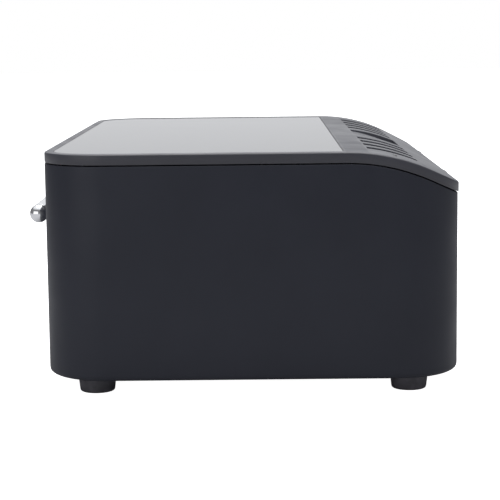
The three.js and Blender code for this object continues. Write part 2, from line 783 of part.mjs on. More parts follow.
for (const [name, side] of sides) {
  addNode(`tube_clamp_${name}`, 'shell', tubeClamp(side * CLAMP_X));
  addNode(`y_rail_${name}`, 'aluminium', sideRail(side));
  addNode(`y_belt_${name}`, 'rubber', beltLoop(IDLER_Y, SHAFT.y, SHAFT.z, BELT_W,
    acrossFrom(side * BELT_X - BELT_W / 2)));
  addNode(`y_idler_${name}`, 'aluminium', idler('x', side * BELT_X, [IDLER_Y, SHAFT.z]));
  addNode(`gantry_carriage_${name}`, 'dark_steel', carriage(side));
}
addNode('first_mirror_mount', 'aluminium', firstMirrorMount());
addNode('y_motor', 'dark_steel', yMotor());
addNode('y_drive_shaft', 'steel', driveShaft());
addNode('bed_frame', 'dark_steel', bedFrame());
addNode('honeycomb_bed', 'aluminium', honeycomb());

addNode('gantry_beam', 'aluminium', gantryBeam());
addNode('second_mirror_mount', 'aluminium', secondMirrorMount());
addNode('x_motor', 'dark_steel', xMotor());
addNode('x_drive_pulley', 'aluminium', xPulley());
addNode('x_idler', 'aluminium', idler('y', X_PULLEY.y, [X_PULLEY.x, X_PULLEY.z]));
addNode('x_belt', 'rubber', beltLoop(-X_PULLEY.x, X_PULLEY.x, X_PULLEY.z, BELT_W,
  backFrom(X_PULLEY.y + BELT_W / 2)));
addNode('head_carriage', 'dark_steel', headCarriage());
addNode('third_mirror_mount', 'aluminium', thirdMirrorMount());
addNode('lens_tube', 'brass', lensTube());

addNode('lid_cover', 'shell', lidCover());
addNode('lid_window', 'glass', lidWindow());
addNode('status_led', 'light', statusLed());
addNode('front_door', 'shell', frontDoor());
addNode('handle_bar', 'chrome', handleBar());

const lidHingeY = REAR + HINGE_OUT;
const doorHingeY = FRONT - HINGE_OUT;
for (const [name, side] of sides) {
  addNode(`handle_post_${name}`, 'chrome', handlePost(side * POST_X));
  addNode(`lid_hinge_base_${name}`, 'dark_steel', hingeBase(side * HINGE_X, lidHingeY,
    LID_HINGE_Z, [BODY_REAR + GAP, BODY_REAR + 2.5], [166, 186]));
  addNode(`lid_hinge_leaf_${name}`, 'dark_steel', hingeLeaf(side * HINGE_X, lidHingeY,
    LID_HINGE_Z, [REAR + GAP, REAR + 2.3], [199, 205]));
  addNode(`door_hinge_base_${name}`, 'dark_steel', hingeBase(side * DOOR_HINGE_X, doorHingeY,
    DOOR_HINGE_Z, [FRONT - 2.3, FRONT - GAP], [26, 38]));
  addNode(`door_hinge_leaf_${name}`, 'dark_steel', hingeLeaf(side * DOOR_HINGE_X, doorHingeY,
    DOOR_HINGE_Z, [FRONT - 2.3, FRONT - GAP], [54, 66]));
}

export default machine;
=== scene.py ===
import json
import math

import bmesh
import bpy
from mathutils import Matrix, Vector


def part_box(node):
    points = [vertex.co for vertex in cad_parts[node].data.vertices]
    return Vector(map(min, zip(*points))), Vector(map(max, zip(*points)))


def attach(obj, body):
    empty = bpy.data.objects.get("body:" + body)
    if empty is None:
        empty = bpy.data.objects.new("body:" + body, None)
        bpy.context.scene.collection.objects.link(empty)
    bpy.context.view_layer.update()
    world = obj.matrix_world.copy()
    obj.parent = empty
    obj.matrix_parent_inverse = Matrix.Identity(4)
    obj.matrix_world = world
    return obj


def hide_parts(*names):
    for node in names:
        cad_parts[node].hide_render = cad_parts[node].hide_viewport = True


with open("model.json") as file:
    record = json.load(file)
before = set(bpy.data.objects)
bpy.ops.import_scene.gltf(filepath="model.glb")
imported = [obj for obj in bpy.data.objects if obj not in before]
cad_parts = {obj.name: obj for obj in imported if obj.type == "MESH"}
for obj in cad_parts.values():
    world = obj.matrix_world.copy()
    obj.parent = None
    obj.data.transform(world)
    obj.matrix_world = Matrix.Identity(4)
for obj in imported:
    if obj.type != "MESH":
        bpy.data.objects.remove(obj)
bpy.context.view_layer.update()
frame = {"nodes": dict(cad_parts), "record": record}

MM = 0.001
X_AXIS, Y_AXIS, Z_AXIS = (1, 0, 0), (0, 1, 0), (0, 0, 1)
SIDES = (("left", -1), ("right", 1))


# ---- sizes read from the frame, in millimetres ----
def node_box(name):
    low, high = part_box(name)
    return Vector(low) / MM, Vector(high) / MM


def centre_of(name):
    low, high = node_box(name)
    return (low + high) / 2


def half_width(name):
    low, high = node_box(name)
    return (high.x - low.x) / 2


HOUSING_LOW, HOUSING_HIGH = node_box("lower_housing")
LID_HIGH = node_box("lid_cover")[1]
WINDOW_LOW, WINDOW_HIGH = node_box("lid_window")
HALF_W = HOUSING_HIGH.x
FRONT = HOUSING_LOW.y
BODY_REAR = HOUSING_HIGH.y
LID_REAR = LID_HIGH.y
BODY_BOTTOM = HOUSING_LOW.z
TOP_Z = LID_HIGH.z

WALL = 4.0
CORNER_R = 64.0
LID_H = 10.3
SEAM = 1.2
LID_SKIN = 6.0
SLOPE_START = 94.0
SLOPE_R = 195.0
SLOPE_ANGLE = math.radians(26.2)
CORNER_STEPS = 20


def top_z(y):
    """Height of the lid's upper surface at y: flat, then an arc, then a straight slope."""
    along = y - SLOPE_START
    arc_end = SLOPE_R * math.sin(SLOPE_ANGLE)
    if along <= 0:
        return TOP_Z
    if along < arc_end:
        return TOP_Z - SLOPE_R + math.sqrt(SLOPE_R ** 2 - along ** 2)
    drop = SLOPE_R * (1 - math.cos(SLOPE_ANGLE))
    return TOP_Z - drop - (along - arc_end) * math.tan(SLOPE_ANGLE)


def as_object(name, data):
    """A new object with this data, linked to the scene."""
    thing = bpy.data.objects.new(name, data)
    bpy.context.scene.collection.objects.link(thing)
    return thing


# ---- camera ----
def make_camera():
    """Long lens, looking across the machine from its right side, a little from above."""
    distance, along, height = 1557.8, 7.7, 360.6
    yaw, pitch, roll = -0.0064, 0.1368, 0.0111
    lens_mm = 115.2
    side = Vector((math.sin(yaw), math.cos(yaw), 0))
    ahead = Vector((-math.cos(yaw), math.sin(yaw), 0))
    forward = math.cos(pitch) * ahead - math.sin(pitch) * Vector((0, 0, 1))
    up = math.sin(pitch) * ahead + math.cos(pitch) * Vector((0, 0, 1))
    right_rolled = math.cos(roll) * side - math.sin(roll) * up
    up_rolled = math.sin(roll) * side + math.cos(roll) * up
    data = bpy.data.cameras.new("camera")
    data.lens = lens_mm
    data.sensor_width = 36
    data.clip_end = 100
    camera = as_object("camera", data)
    turn = Matrix((right_rolled, up_rolled, -forward)).transposed().to_4x4()
    place = Matrix.Translation(Vector((HALF_W + distance, along, height)) * MM)
    camera.matrix_world = place @ turn
    bpy.context.scene.camera = camera


make_camera()


# ---- lights and floor ----
def area_light(name, place, aim, size, watts):
    data = bpy.data.lights.new(name, "AREA")
    data.shape = "RECTANGLE"
    data.size, data.size_y = size
    data.energy = watts
    light = as_object(name, data)
    light.location = place
    direction = Vector(aim) - Vector(place)
    light.rotation_euler = direction.to_track_quat("-Z", "Y").to_euler()


def add_node(tree, kind, **values):
    """A new shader node with these input values; _ in a name stands for a space."""
    node = tree.nodes.new("ShaderNode" + kind)
    for name, value in values.items():
        node.inputs[name.replace("_", " ")].default_value = value
    return node


def split_rays(tree, lighting, seen, target):
    """Camera rays get the seen shader, all other rays the lighting one."""
    path = add_node(tree, "LightPath")
    mix = add_node(tree, "MixShader")
    tree.links.new(path.outputs["Is Camera Ray"], mix.inputs[0])
    tree.links.new(lighting.outputs[0], mix.inputs[1])
    tree.links.new(seen.outputs[0], mix.inputs[2])
    tree.links.new(mix.outputs[0], target)


def make_world():
    """A photo studio: white backdrop at -X, dark gaps beside it, dim sides, bright overhead."""
    world = bpy.data.worlds.new("studio")
    bpy.context.scene.world = world
    world.use_nodes = True
    tree = world.node_tree
    tree.nodes.clear()
    link = tree.links.new
    direction = add_node(tree, "TexCoord")
    split = add_node(tree, "SeparateXYZ")
    link(direction.outputs["Generated"], split.inputs[0])
    around = add_node(tree, "MapRange", From_Min=-1)
    link(split.outputs["X"], around.inputs["Value"])
    walls = add_node(tree, "ValToRGB")
    bands = [(0.0, 0.81), (0.035, 0.81), (0.07, 0.1), (0.24, 0.08), (0.34, 0.18), (0.6, 0.2),
             (0.8, 0.2), (1.0, 0.2)]
    for place, level in bands[2:]:
        walls.color_ramp.elements.new(place)
    for element, (place, level) in zip(walls.color_ramp.elements, bands):
        element.position = place
        element.color = (level, level * 1.01, level * 1.04, 1)
    link(around.outputs[0], walls.inputs[0])
    rise = add_node(tree, "MapRange", From_Min=0.45, From_Max=0.8)
    rise.interpolation_type = "SMOOTHSTEP"
    link(split.outputs["Z"], rise.inputs["Value"])
    ceiling = add_node(tree, "Mix")
    ceiling.data_type = "RGBA"
    ceiling.inputs[7].default_value = (0.95, 0.96, 0.98, 1)
    link(rise.outputs[0], ceiling.inputs[0])
    link(walls.outputs[0], ceiling.inputs[6])
    lighting = add_node(tree, "Background")
    link(ceiling.outputs[2], lighting.inputs["Color"])
    seen = add_node(tree, "Background", Color=(1, 1, 1, 1))
    split_rays(tree, lighting, seen, add_node(tree, "OutputWorld").inputs[0])


def make_floor():
    size = 12.0
    mesh = bpy.data.meshes.new("floor")
    mesh.from_pydata([(-size, -size, 0), (size, -size, 0), (size, size, 0), (-size, size, 0)],
                     [], [(0, 1, 2, 3)])
    floor = as_object("floor", mesh)
    material = bpy.data.materials.new("floor")
    material.use_nodes = True
    tree = material.node_tree
    seen = tree.nodes["Principled BSDF"]
    seen.inputs["Base Color"].default_value = (0.93, 0.93, 0.93, 1)
    seen.inputs["Roughness"].default_value = 0.9
    seen.inputs["Emission Color"].default_value = (1, 1, 1, 1)
    seen.inputs["Emission Strength"].default_value = 1.0
    bounced = add_node(tree, "BsdfDiffuse", Color=(0.5, 0.5, 0.51, 1))
    split_rays(tree, bounced, seen, tree.nodes["Material Output"].inputs["Surface"])
    mesh.materials.append(material)


make_world()
make_floor()
area_light("top_light", (0.0, 0.0, 2.4), (0, 0, 0), (2.6, 2.2), 46)
area_light("front_light", (1.9, -1.3, 0.3), (0, 0, 0.12), (1.8, 1.1), 6)
area_light("rear_light", (0.3, 2.2, 1.3), (0, 0, 0.1), (1.4, 1.0), 3.5)
bpy.context.scene.view_settings.view_transform = "Standard"


# ---- materials ----
class Shading:
    """A Principled material; each noise is (scale, detail, stretch) in object space."""

    def __init__(self, name, color, roughness, metallic=0.0):
        self.material = bpy.data.materials.new(name)
        self.material.use_nodes = True
        self.tree = self.material.node_tree
        self.link = self.tree.links.new
        self.shader = self.tree.nodes["Principled BSDF"]
        self.color = color
        self.set(Base_Color=(*color, 1), Roughness=roughness, Metallic=metallic)
        self.place = add_node(self.tree, "TexCoord").outputs["Object"]

    def set(self, **values):
        for name, value in values.items():
            self.shader.inputs[name.replace("_", " ")].default_value = value
        return self

    def scaled_place(self, stretch):
        if stretch == (1, 1, 1):
            return self.place
        mapping = add_node(self.tree, "Mapping", Scale=stretch)
        self.link(self.place, mapping.inputs["Vector"])
        return mapping.outputs[0]

    def noise(self, scale, detail, stretch=(1, 1, 1)):
        node = add_node(self.tree, "TexNoise", Scale=scale, Detail=detail)
        self.link(self.scaled_place(stretch), node.inputs["Vector"])
        return node.outputs[0]

    def remap(self, value, low, high):
        """The middle of a noise's range, spread from low to high."""
        node = add_node(self.tree, "MapRange", From_Min=0.3, From_Max=0.7, To_Min=low, To_Max=high)
        self.link(value, node.inputs["Value"])
        return node.outputs[0]

    def vary_color(self, noise, low, high):
        """Base colour runs from low to high times the material's colour."""
        mix = add_node(self.tree, "Mix")
        mix.data_type = "RGBA"
        mix.inputs[6].default_value = (*[c * low for c in self.color], 1)
        mix.inputs[7].default_value = (*[c * high for c in self.color], 1)
        self.link(self.remap(self.noise(*noise), 0, 1), mix.inputs[0])
        self.link(mix.outputs[2], self.shader.inputs["Base Color"])
        return self

    def vary_roughness(self, noise, low, high):
        value = self.remap(self.noise(*noise), low, high)
        self.link(value, self.shader.inputs["Roughness"])
        return self

    def relief(self, noise, depth_mm):
        bump = add_node(self.tree, "Bump", Distance=depth_mm * MM)
        self.link(self.noise(*noise), bump.inputs["Height"])
        self.link(bump.outputs[0], self.shader.inputs["Normal"])
        return self


def moulded_plastic(name, color, roughness, gloss, tint=(1, 1, 1)):
    """Plastic with the fine spark-eroded grain of a moulded case."""
    grain_mm, depth_mm = 0.9, 0.02
    shading = Shading(name, color, roughness).set(Specular_IOR_Level=gloss)
    shading.set(Specular_Tint=(*tint, 1))
    shading.vary_color((9, 3), 0.93, 1.08)
    shading.vary_roughness((22, 4), roughness - 0.05, roughness + 0.06)
    return shading.relief((1000 / grain_mm, 1.5), depth_mm).material


def smooth_plastic(name, color, roughness):
    shading = Shading(name, color, roughness)
    shading.vary_color((30, 2), 0.95, 1.06)
    shading.vary_roughness((60, 3), roughness * 0.8, roughness * 1.3)
    return shading.relief((250, 2), 0.01).material


def metal(name, color, roughness, stretch=(1, 1, 1), depth_mm=0.004):
    """Metal with fine drawn or rolled lines along the unstretched axis."""
    shading = Shading(name, color, roughness, 1.0)
    lines = (400, 3, stretch)
    shading.vary_color((14, 3), 0.92, 1.04)
    shading.vary_roughness(lines, roughness * 0.75, roughness * 1.35)
    return shading.relief(lines, depth_mm).material


def painted(name, color, roughness):
    """Powder coat: a slight orange-peel relief."""
    shading = Shading(name, color, roughness)
    shading.vary_color((18, 2), 0.9, 1.12)
    shading.vary_roughness((90, 3), roughness - 0.08, roughness + 0.1)
    return shading.relief((900, 1), 0.03).material


def chrome_plate():
    shading = Shading("chrome", (0.88, 0.89, 0.91), 0.05, 1.0)
    shading.vary_color((30, 2), 0.97, 1.02)
    shading.vary_roughness((120, 4), 0.03, 0.09)
    return shading.material


def rubber_skin():
    shading = Shading("rubber", (0.068, 0.066, 0.076), 0.7)
    shading.vary_color((90, 3), 0.8, 1.4)
    shading.vary_roughness((150, 2), 0.7, 0.9)
    return shading.relief((700, 2), 0.05).material


def smoked_sheet():
    """Dark acrylic: glossy, lets a little light through."""
    shading = Shading("smoked_sheet", (0.035, 0.037, 0.04), 0.03)
    shading.vary_roughness((40, 4), 0.02, 0.06)
    shading.vary_color((6, 2), 0.92, 1.08)
    return shading.set(Transmission_Weight=0.35, IOR=1.49).material


def glass_wall(name, tint):
    shading = Shading(name, tint, 0.02)
    shading.vary_color((60, 2), 0.95, 1.0)
    shading.vary_roughness((80, 2), 0.01, 0.05)
    return shading.set(Transmission_Weight=0.9, IOR=1.47).material


def circuit_board():
    shading = Shading("circuit_board", (0.02, 0.11, 0.05), 0.35)
    shading.vary_color((300, 1, (1, 0.15, 1)), 0.6, 1.5)
    shading.vary_roughness((500, 2), 0.25, 0.5)
    return shading.relief((300, 1, (1, 0.15, 1)), 0.05).material


def milky_plastic(name, color):
    shading = Shading(name, color, 0.4)
    shading.vary_color((25, 3), 0.9, 1.05)
    shading.vary_roughness((80, 2), 0.3, 0.5)
    return shading.set(Subsurface_Weight=0.2).material


LOOKS = {
    "shell": moulded_plastic("case_plastic", (0.025, 0.027, 0.0375), 0.42, 0.25),
    "led_lens": smooth_plastic("led_lens", (0.07, 0.07, 0.072), 0.25),
    # The lid is the same black plastic as the case; its lighter base colour is painted sheen,
    # standing in for the grazing light that its top, slope and sides catch.
    "lid_shell_painted_sheen": moulded_plastic("lid_plastic_painted_sheen", (0.055, 0.057, 0.07), 0.33, 0.38,
                                 tint=(1, 0.95, 0.88)),
    "window": smoked_sheet(),
    "steel": metal("sheet_steel", (0.52, 0.53, 0.54), 0.38, (1, 8, 1)),
    "dark_steel": painted("powder_coat", (0.022, 0.022, 0.024), 0.5),
    "black_plastic": smooth_plastic("black_plastic", (0.02, 0.02, 0.021), 0.45),
    "aluminium": metal("anodised", (0.68, 0.69, 0.7), 0.32, (0.1, 1, 1)),
    "chrome": chrome_plate(),
    "rubber": rubber_skin(),
    "board": circuit_board(),
    "tube_glass": glass_wall("tube_glass", (0.96, 0.93, 0.96)),
    "brass": metal("turned_brass", (0.75, 0.55, 0.24), 0.25, (1, 1, 6)),
    "light_plastic": milky_plastic("milky_plastic", (0.62, 0.68, 0.74)),
    "red_plastic": smooth_plastic("red_plastic", (0.42, 0.015, 0.012), 0.3),
}
SLOT_OF = {part["node"]: part["material_slot"] for part in frame["record"]["subparts"]}
BODY_OF = {node: body for body, nodes in frame["record"]["behaviour"]["bodies"].items()
           for node in nodes}

for node_name, cad_object in frame["nodes"].items():
    cad_object.data.materials.clear()
    cad_object.data.materials.append(LOOKS[SLOT_OF[node_name]])


# ---- mesh helpers: all shapes are written in millimetres ----
def quarter_arc(steps):
    """(sine, cosine) pairs from 0 to 90 degrees."""
    turns = [math.pi / 2 * i / steps for i in range(steps + 1)]
    return [(math.sin(a), math.cos(a)) for a in turns]


def strip(first, second, size):
    """Quads between two closed rings of points, given by their first indices."""
    pairs = [(i, (i + 1) % size) for i in range(size)]
    return [(first + i, first + j, second + j, second + i) for i, j in pairs]


def finish_mesh(mesh, smooth_deg=32):
    for face in mesh.polygons:
        face.use_smooth = True
    mesh.set_sharp_from_angle(angle=math.radians(smooth_deg))


def as_mesh(name, points, faces):
    mesh = bpy.data.meshes.new(name)
    mesh.from_pydata([Vector(p) * MM for p in points], [], faces)
    work = bmesh.new()
    work.from_mesh(mesh)
    bmesh.ops.remove_doubles(work, verts=work.verts, dist=1e-6)
    bmesh.ops.recalc_face_normals(work, faces=work.faces)
    work.to_mesh(mesh)
    work.free()
    return mesh


def add_piece(name, mesh, body, slot, replaces=(), smooth_deg=32, look=None):
    mesh.materials.clear()
    mesh.materials.append(LOOKS[look or slot])
    finish_mesh(mesh, smooth_deg)
    piece = as_object(name, mesh)
    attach(piece, body)
    if replaces:
        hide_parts(*replaces)


def stand_in(name, mesh, node, smooth_deg=32, look=None):
    """A piece in the place of one CAD node, with that node's body and slot."""
    add_piece(name, mesh, BODY_OF[node], SLOT_OF[node], [node], smooth_deg, look)


def bevelled(mesh, width_mm, segments=2, angle_deg=40):
    """The mesh with its sharp edges rounded."""
    holder = as_object("bevel_work", mesh)
    modifier = holder.modifiers.new("bevel", "BEVEL")
    modifier.width = width_mm * MM
    modifier.segments = segments
    modifier.limit_method = "ANGLE"
    modifier.angle_limit = math.radians(angle_deg)
    return baked(holder)


def baked(holder):
    graph = bpy.context.evaluated_depsgraph_get()
    mesh = bpy.data.meshes.new_from_object(holder.evaluated_get(graph))
    bpy.data.objects.remove(holder)
    return mesh


def combined(mesh, others, operation):
    """Boolean of one mesh with a list of others."""
    holder = as_object("boolean_work", mesh)
    tools = []
    for other in others:
        tool = as_object("boolean_tool", other)
        modifier = holder.modifiers.new("boolean", "BOOLEAN")
        modifier.operation = operation
        modifier.solver = "EXACT"
        modifier.object = tool
        tools.append(tool)
    result = baked(holder)
    for tool in tools:
        bpy.data.objects.remove(tool)
    return result


def merged(meshes, name="merged"):
    work = bmesh.new()
    for mesh in meshes:
        work.from_mesh(mesh)
    result = bpy.data.meshes.new(name)
    work.to_mesh(result)
    work.free()
    return result


def block(x0, x1, y0, y1, z0, z1):
    points = [(x, y, z) for x in (x0, x1) for y in (y0, y1) for z in (z0, z1)]
    faces = [(0, 1, 3, 2), (4, 6, 7, 5), (0, 4, 5, 1), (2, 3, 7, 6), (0, 2, 6, 4), (1, 5, 7, 3)]
    return as_mesh("block", points, faces)


def turned(profile, axis, centre, steps=48, ring=False):
    """Lathe solid of (radius, distance along the axis) pairs; a ring's profile is a loop."""
    points, faces = [], []
    for r, along in profile:
        for i in range(steps):
            a = 2 * math.pi * i / steps
            points.append((r * math.cos(a), r * math.sin(a), along))
    count = len(profile)
    for row in range(count if ring else count - 1):
        faces += strip(row * steps, (row + 1) % count * steps, steps)
    if not ring:
        faces.append(tuple(reversed(range(steps))))
        faces.append(tuple((count - 1) * steps + i for i in range(steps)))
    mesh = as_mesh("turned", points, faces)
    turn = Vector((0, 0, 1)).rotation_difference(Vector(axis)).to_matrix().to_4x4()
    mesh.transform(Matrix.Translation(Vector(centre) * MM) @ turn)
    return mesh


def rounded_profile(r, start, end, edge, steps=4):
    """Profile of a plain cylinder with rounded rims."""
    arc = quarter_arc(steps)
    profile = [(r - edge + edge * s, start + edge - edge * c) for s, c in arc]
    profile += [(r - edge + edge * s, end - edge + edge * c) for s, c in reversed(arc)]
    return profile


# ---- plan outlines, right half from front to rear, mirrored to close ----
def half_outline(half_w, y0, y1, r_front, r_rear, side_ys):
    """Points (x, y) of the right half, from the front edge round to the rear edge."""
    arc = quarter_arc(CORNER_STEPS)
    points = [(half_w - r_front + r_front * s, y0 + r_front - r_front * c) for s, c in arc]
    points += [(half_w, y) for y in side_ys]
    points += [(half_w - r_rear + r_rear * c, y1 - r_rear + r_rear * s) for s, c in arc]
    return points


SIDE_YS = [-100, -50, 0, 50] + [SLOPE_START + 50 * i / 14 for i in range(14)]


def case_loop(inset, rear, height, lift=0.0):
    """The case's outline drawn in by inset, each point at height(y) + lift."""
    outline = half_outline(HALF_W - inset, FRONT + inset, rear - inset,
                           CORNER_R - inset, CORNER_R - inset, SIDE_YS)
    return [(x, y, height(y) + lift) for x, y in outline]


def lofted(loops, first_cap=False, last_cap=False, closed=False):
    """Skins a stack of half outlines, each a list of (x, y, z), mirrored in x."""
    half = len(loops[0])
    points = []
    for loop in loops:
        points += loop + [(-x, y, z) for x, y, z in reversed(loop)]
    size = 2 * half
    faces = []
    rows = len(loops)
    for row in range(rows if closed else rows - 1):
        faces += strip(row * size, (row + 1) % rows * size, size)
    for row, wanted in ((0, first_cap), (rows - 1, last_cap)):
        if wanted:
            base = row * size
            for i in range(half - 1):
                faces.append((base + i, base + i + 1,
                              base + size - 2 - i, base + size - 1 - i))
    return as_mesh("loft", points, faces)


# ---- lower housing ----
def housing_mesh():
    edge, rim = 5.5, 0.7
    floor_z = lambda y: BODY_BOTTOM
    seam_z = lambda y: top_z(y) - LID_H - SEAM
    loops = [case_loop(WALL, BODY_REAR, floor_z)]
    loops += [case_loop(edge * (1 - s), BODY_REAR, floor_z, edge * (1 - c))
              for s, c in quarter_arc(5)]
    loops.append(case_loop(0, BODY_REAR, lambda y: (BODY_BOTTOM + seam_z(y)) / 2))
    loops += [case_loop(rim * (1 - c), BODY_REAR, seam_z, -rim * (1 - s))
              for s, c in quarter_arc(3)]
    loops.append(case_loop(WALL, BODY_REAR, seam_z))
    shell = lofted(loops, closed=True)

    tools = []
    for node, gap, wall_y in (("front_door", 0.8, FRONT), ("service_panel", 0.3, BODY_REAR)):
        low, high = node_box(node)
        tools.append(block(low.x - gap, high.x + gap, wall_y - 10, wall_y + 10,
                           low.z - gap, high.z + gap))
    duct, button, fan = map(centre_of, ("exhaust_duct", "start_button", "cooling_fan_frame"))
    duct_r = half_width("exhaust_duct") - 9.5
    button_r = half_width("start_button") - 2.1
    tools.append(turned([(duct_r, -10), (duct_r, 10)], Y_AXIS, (duct.x, BODY_REAR, duct.z), 64))
    tools.append(turned([(button_r, -10), (button_r, 10)], Y_AXIS, (button.x, FRONT, button.z)))
    slot_pitch, slot_w, slot_reach = 10, 5, 34
    for i in range(-3, 4):
        x = fan.x + slot_pitch * i
        tools.append(block(x - slot_w / 2, x + slot_w / 2, BODY_REAR - 10, BODY_REAR + 5,
                           fan.z - slot_reach, fan.z + slot_reach))
    return bevelled(combined(shell, tools, "DIFFERENCE"), 0.5, 2, 50)


# ---- lid ----
GROOVE_Y = (118.0, 170.0)
GROOVE_DEPTH = (1.2, 4.6)
RECESS_HALF_W = 46.0
VENT_FIRST_X, VENT_PITCH, VENT_HALF_W, VENTS_PER_SIDE = 97.0, 51.3, 11.5, 4
SLIT_HALF_W, SLIT_WIDTH, SLIT_PITCH = 8.0, 2.6, 5.6
SLIT_FIRST_Y, SLIT_COUNT = 143.5, 4
GROOVE_STEPS = 16
WINDOW_FRONT_R, WINDOW_REAR_R = 50.0, 3.0


def groove(x, half):
    """Cutter for a groove whose floor sinks towards the rear below the curved surface."""
    points = []
    for i in range(GROOVE_STEPS + 1):
        t = i / GROOVE_STEPS
        y = GROOVE_Y[0] + (GROOVE_Y[1] - GROOVE_Y[0]) * t
        floor = top_z(y) - GROOVE_DEPTH[0] - (GROOVE_DEPTH[1] - GROOVE_DEPTH[0]) * t
        points += [(x - half, y, floor), (x + half, y, floor),
                   (x + half, y, TOP_Z + 10), (x - half, y, TOP_Z + 10)]
    last = 4 * GROOVE_STEPS
    faces = [(0, 1, 2, 3), (last + 3, last + 2, last + 1, last)]
    for i in range(GROOVE_STEPS):
        for j in range(4):
            k = (j + 1) % 4
            faces.append((4 * i + j, 4 * i + 4 + j, 4 * i + 4 + k, 4 * i + k))
    return as_mesh("groove", points, faces)


def window_loop(grow, z):
    """The window's outline, grown sideways, at one height."""
    low, high = WINDOW_LOW, WINDOW_HIGH
    rear_r = max(WINDOW_REAR_R + grow, 1)
    outline = half_outline(high.x + grow, low.y - grow, high.y + grow, WINDOW_FRONT_R + grow,
                           rear_r, [-100, 0])
    return [(x, y, z) for x, y in outline]


def window_cutter(grow, z0, z1, flare=0.0):
    """Prism in the window's outline; with flare its upper edge opens out."""
    loops = [window_loop(grow, z0), window_loop(grow, z1 - flare)]
    if flare:
        loops += [window_loop(grow + flare, z1), window_loop(grow + flare, z1 + 5)]
    return lofted(loops, first_cap=True, last_cap=True)


def lid_mesh():
    rim, low_rim = 1.4, 0.6
    seam_z = lambda y: top_z(y) - LID_H
    loops = [case_loop(WALL, LID_REAR, top_z, -LID_SKIN), case_loop(WALL, LID_REAR, seam_z)]
    loops += [case_loop(low_rim * (1 - s), LID_REAR, seam_z, low_rim * (1 - c))
              for s, c in quarter_arc(2)]
    loops += [case_loop(rim * (1 - c), LID_REAR, top_z, -rim * (1 - s))
              for s, c in quarter_arc(5)]
    shell = lofted(loops, first_cap=True, last_cap=True)
    led = centre_of("status_led")
    led_hole_r, ledge_w, gap = 2.3, 14, 0.3
    ledge_z = WINDOW_LOW.z - gap
    tools = [
        groove(0, RECESS_HALF_W),
        window_cutter(gap, ledge_z, TOP_Z, 0.7),
        window_cutter(-ledge_w, ledge_z - 20, ledge_z + 2),
        turned([(led_hole_r, 200), (led_hole_r, 260)], Z_AXIS, (led.x, led.y, 0), 32),
    ]
    for side in (-1, 1):
        for i in range(VENTS_PER_SIDE):
            x = side * (VENT_FIRST_X + i * VENT_PITCH)
            tools.append(groove(x, VENT_HALF_W))
            for j in range(SLIT_COUNT):
                y = SLIT_FIRST_Y + j * SLIT_PITCH
                tools.append(block(x - SLIT_HALF_W, x + SLIT_HALF_W, y, y + SLIT_WIDTH, 180, 260))
    return bevelled(combined(shell, tools, "DIFFERENCE"), 0.35, 2, 35)


stand_in("case_lower", housing_mesh(), "lower_housing")
stand_in("case_lid", lid_mesh(), "lid_cover", look="lid_shell_painted_sheen")


# ---- window sheet ----
def window_mesh():
    z0, z1, edge = WINDOW_LOW.z, WINDOW_HIGH.z, 0.5
    loops = [window_loop(-edge, z0), window_loop(0, z0 + edge), window_loop(0, z1 - edge),
             window_loop(-edge, z1)]
    return lofted(loops, first_cap=True, last_cap=True)


stand_in("window_sheet", window_mesh(), "lid_window", 20)


# ---- handle ----
def handle_mesh():
    low, high = node_box("handle_bar")
    r = (high.z - low.z) / 2
    half = high.x
    dome, cap = 7.0, 12.0
    profile = [(max(r * s, 0.02), -half + dome * (1 - c)) for s, c in quarter_arc(10)]
    groove = [(r, -half + cap), (r - 0.5, -half + cap + 0.3), (r - 0.5, -half + cap + 0.9),
              (r - 0.1, -half + cap + 1.2)]
    profile += groove
    profile += [(radius, -along) for radius, along in reversed(profile)]
    return turned(profile, X_AXIS, centre_of("handle_bar"), 64)


def post_mesh(name):
    bar_low, bar_high = node_box("handle_bar")
    middle = centre_of("handle_bar")
    middle.x = centre_of(name).x
    reach = node_box(name)[1].y - middle.y
    profile = [(6.6, 0), (6.6, reach - 5), (7.2, reach - 4.2), (8.3, reach - 2.6),
               (8.5, reach - 1.6), (8.5, reach - 0.4), (8.1, reach)]
    post = turned(profile, Y_AXIS, middle, 40)
    bore_r = (bar_high.z - bar_low.z) / 2 + 0.05
    bore = turned([(bore_r, -30), (bore_r, 30)], X_AXIS, middle, 64)
    return combined(post, [bore], "DIFFERENCE")


stand_in("handle_rail", handle_mesh(), "handle_bar")
for side_name, side in SIDES:
    node = f"handle_post_{side_name}"
    stand_in(f"handle_stem_{side_name}", post_mesh(node), node)


# ---- feet ----
def foot_mesh(name):
    low, high = node_box(name)
    middle = centre_of(name)
    top_r = half_width(name)
    h = high.z - low.z
    edge_r, flat_r = 2.4, top_r - 4.2
    profile = [(9, 1.2), (9.8, 0.3), (10.6, 0)]
    profile += [(flat_r + edge_r * s, edge_r - edge_r * c) for s, c in quarter_arc(5)]
    profile += [(top_r - 0.6, h - 2.2), (top_r - 0.1, h - 1.6), (top_r, h - 1.0), (top_r, h)]
    return turned(profile, Z_AXIS, (middle.x, middle.y, low.z), 64)


for row in ("front", "rear"):
    for side_name, side in SIDES:
        node = f"foot_{row}_{side_name}"
        stand_in(f"{node}_pad", foot_mesh(node), node)


# ---- front door ----
def door_mesh():
    low, high = node_box("front_door")
    return bevelled(block(low.x, high.x, low.y, high.y, low.z, high.z), 0.6, 3)


stand_in("door_panel", door_mesh(), "front_door")


# ---- CAD solids with their edges softened ----
def softened(node, width_mm):
    """The node's own solid with flat areas merged and its edges rounded."""
    mesh = frame["nodes"][node].data.copy()
    work = bmesh.new()
    work.from_mesh(mesh)
    bmesh.ops.remove_doubles(work, verts=work.verts, dist=1e-6)
    bmesh.ops.dissolve_limit(work, angle_limit=math.radians(1), verts=work.verts,
                             edges=work.edges)
    work.to_mesh(mesh)
    work.free()
    return bevelled(mesh, width_mm, 2, 35)


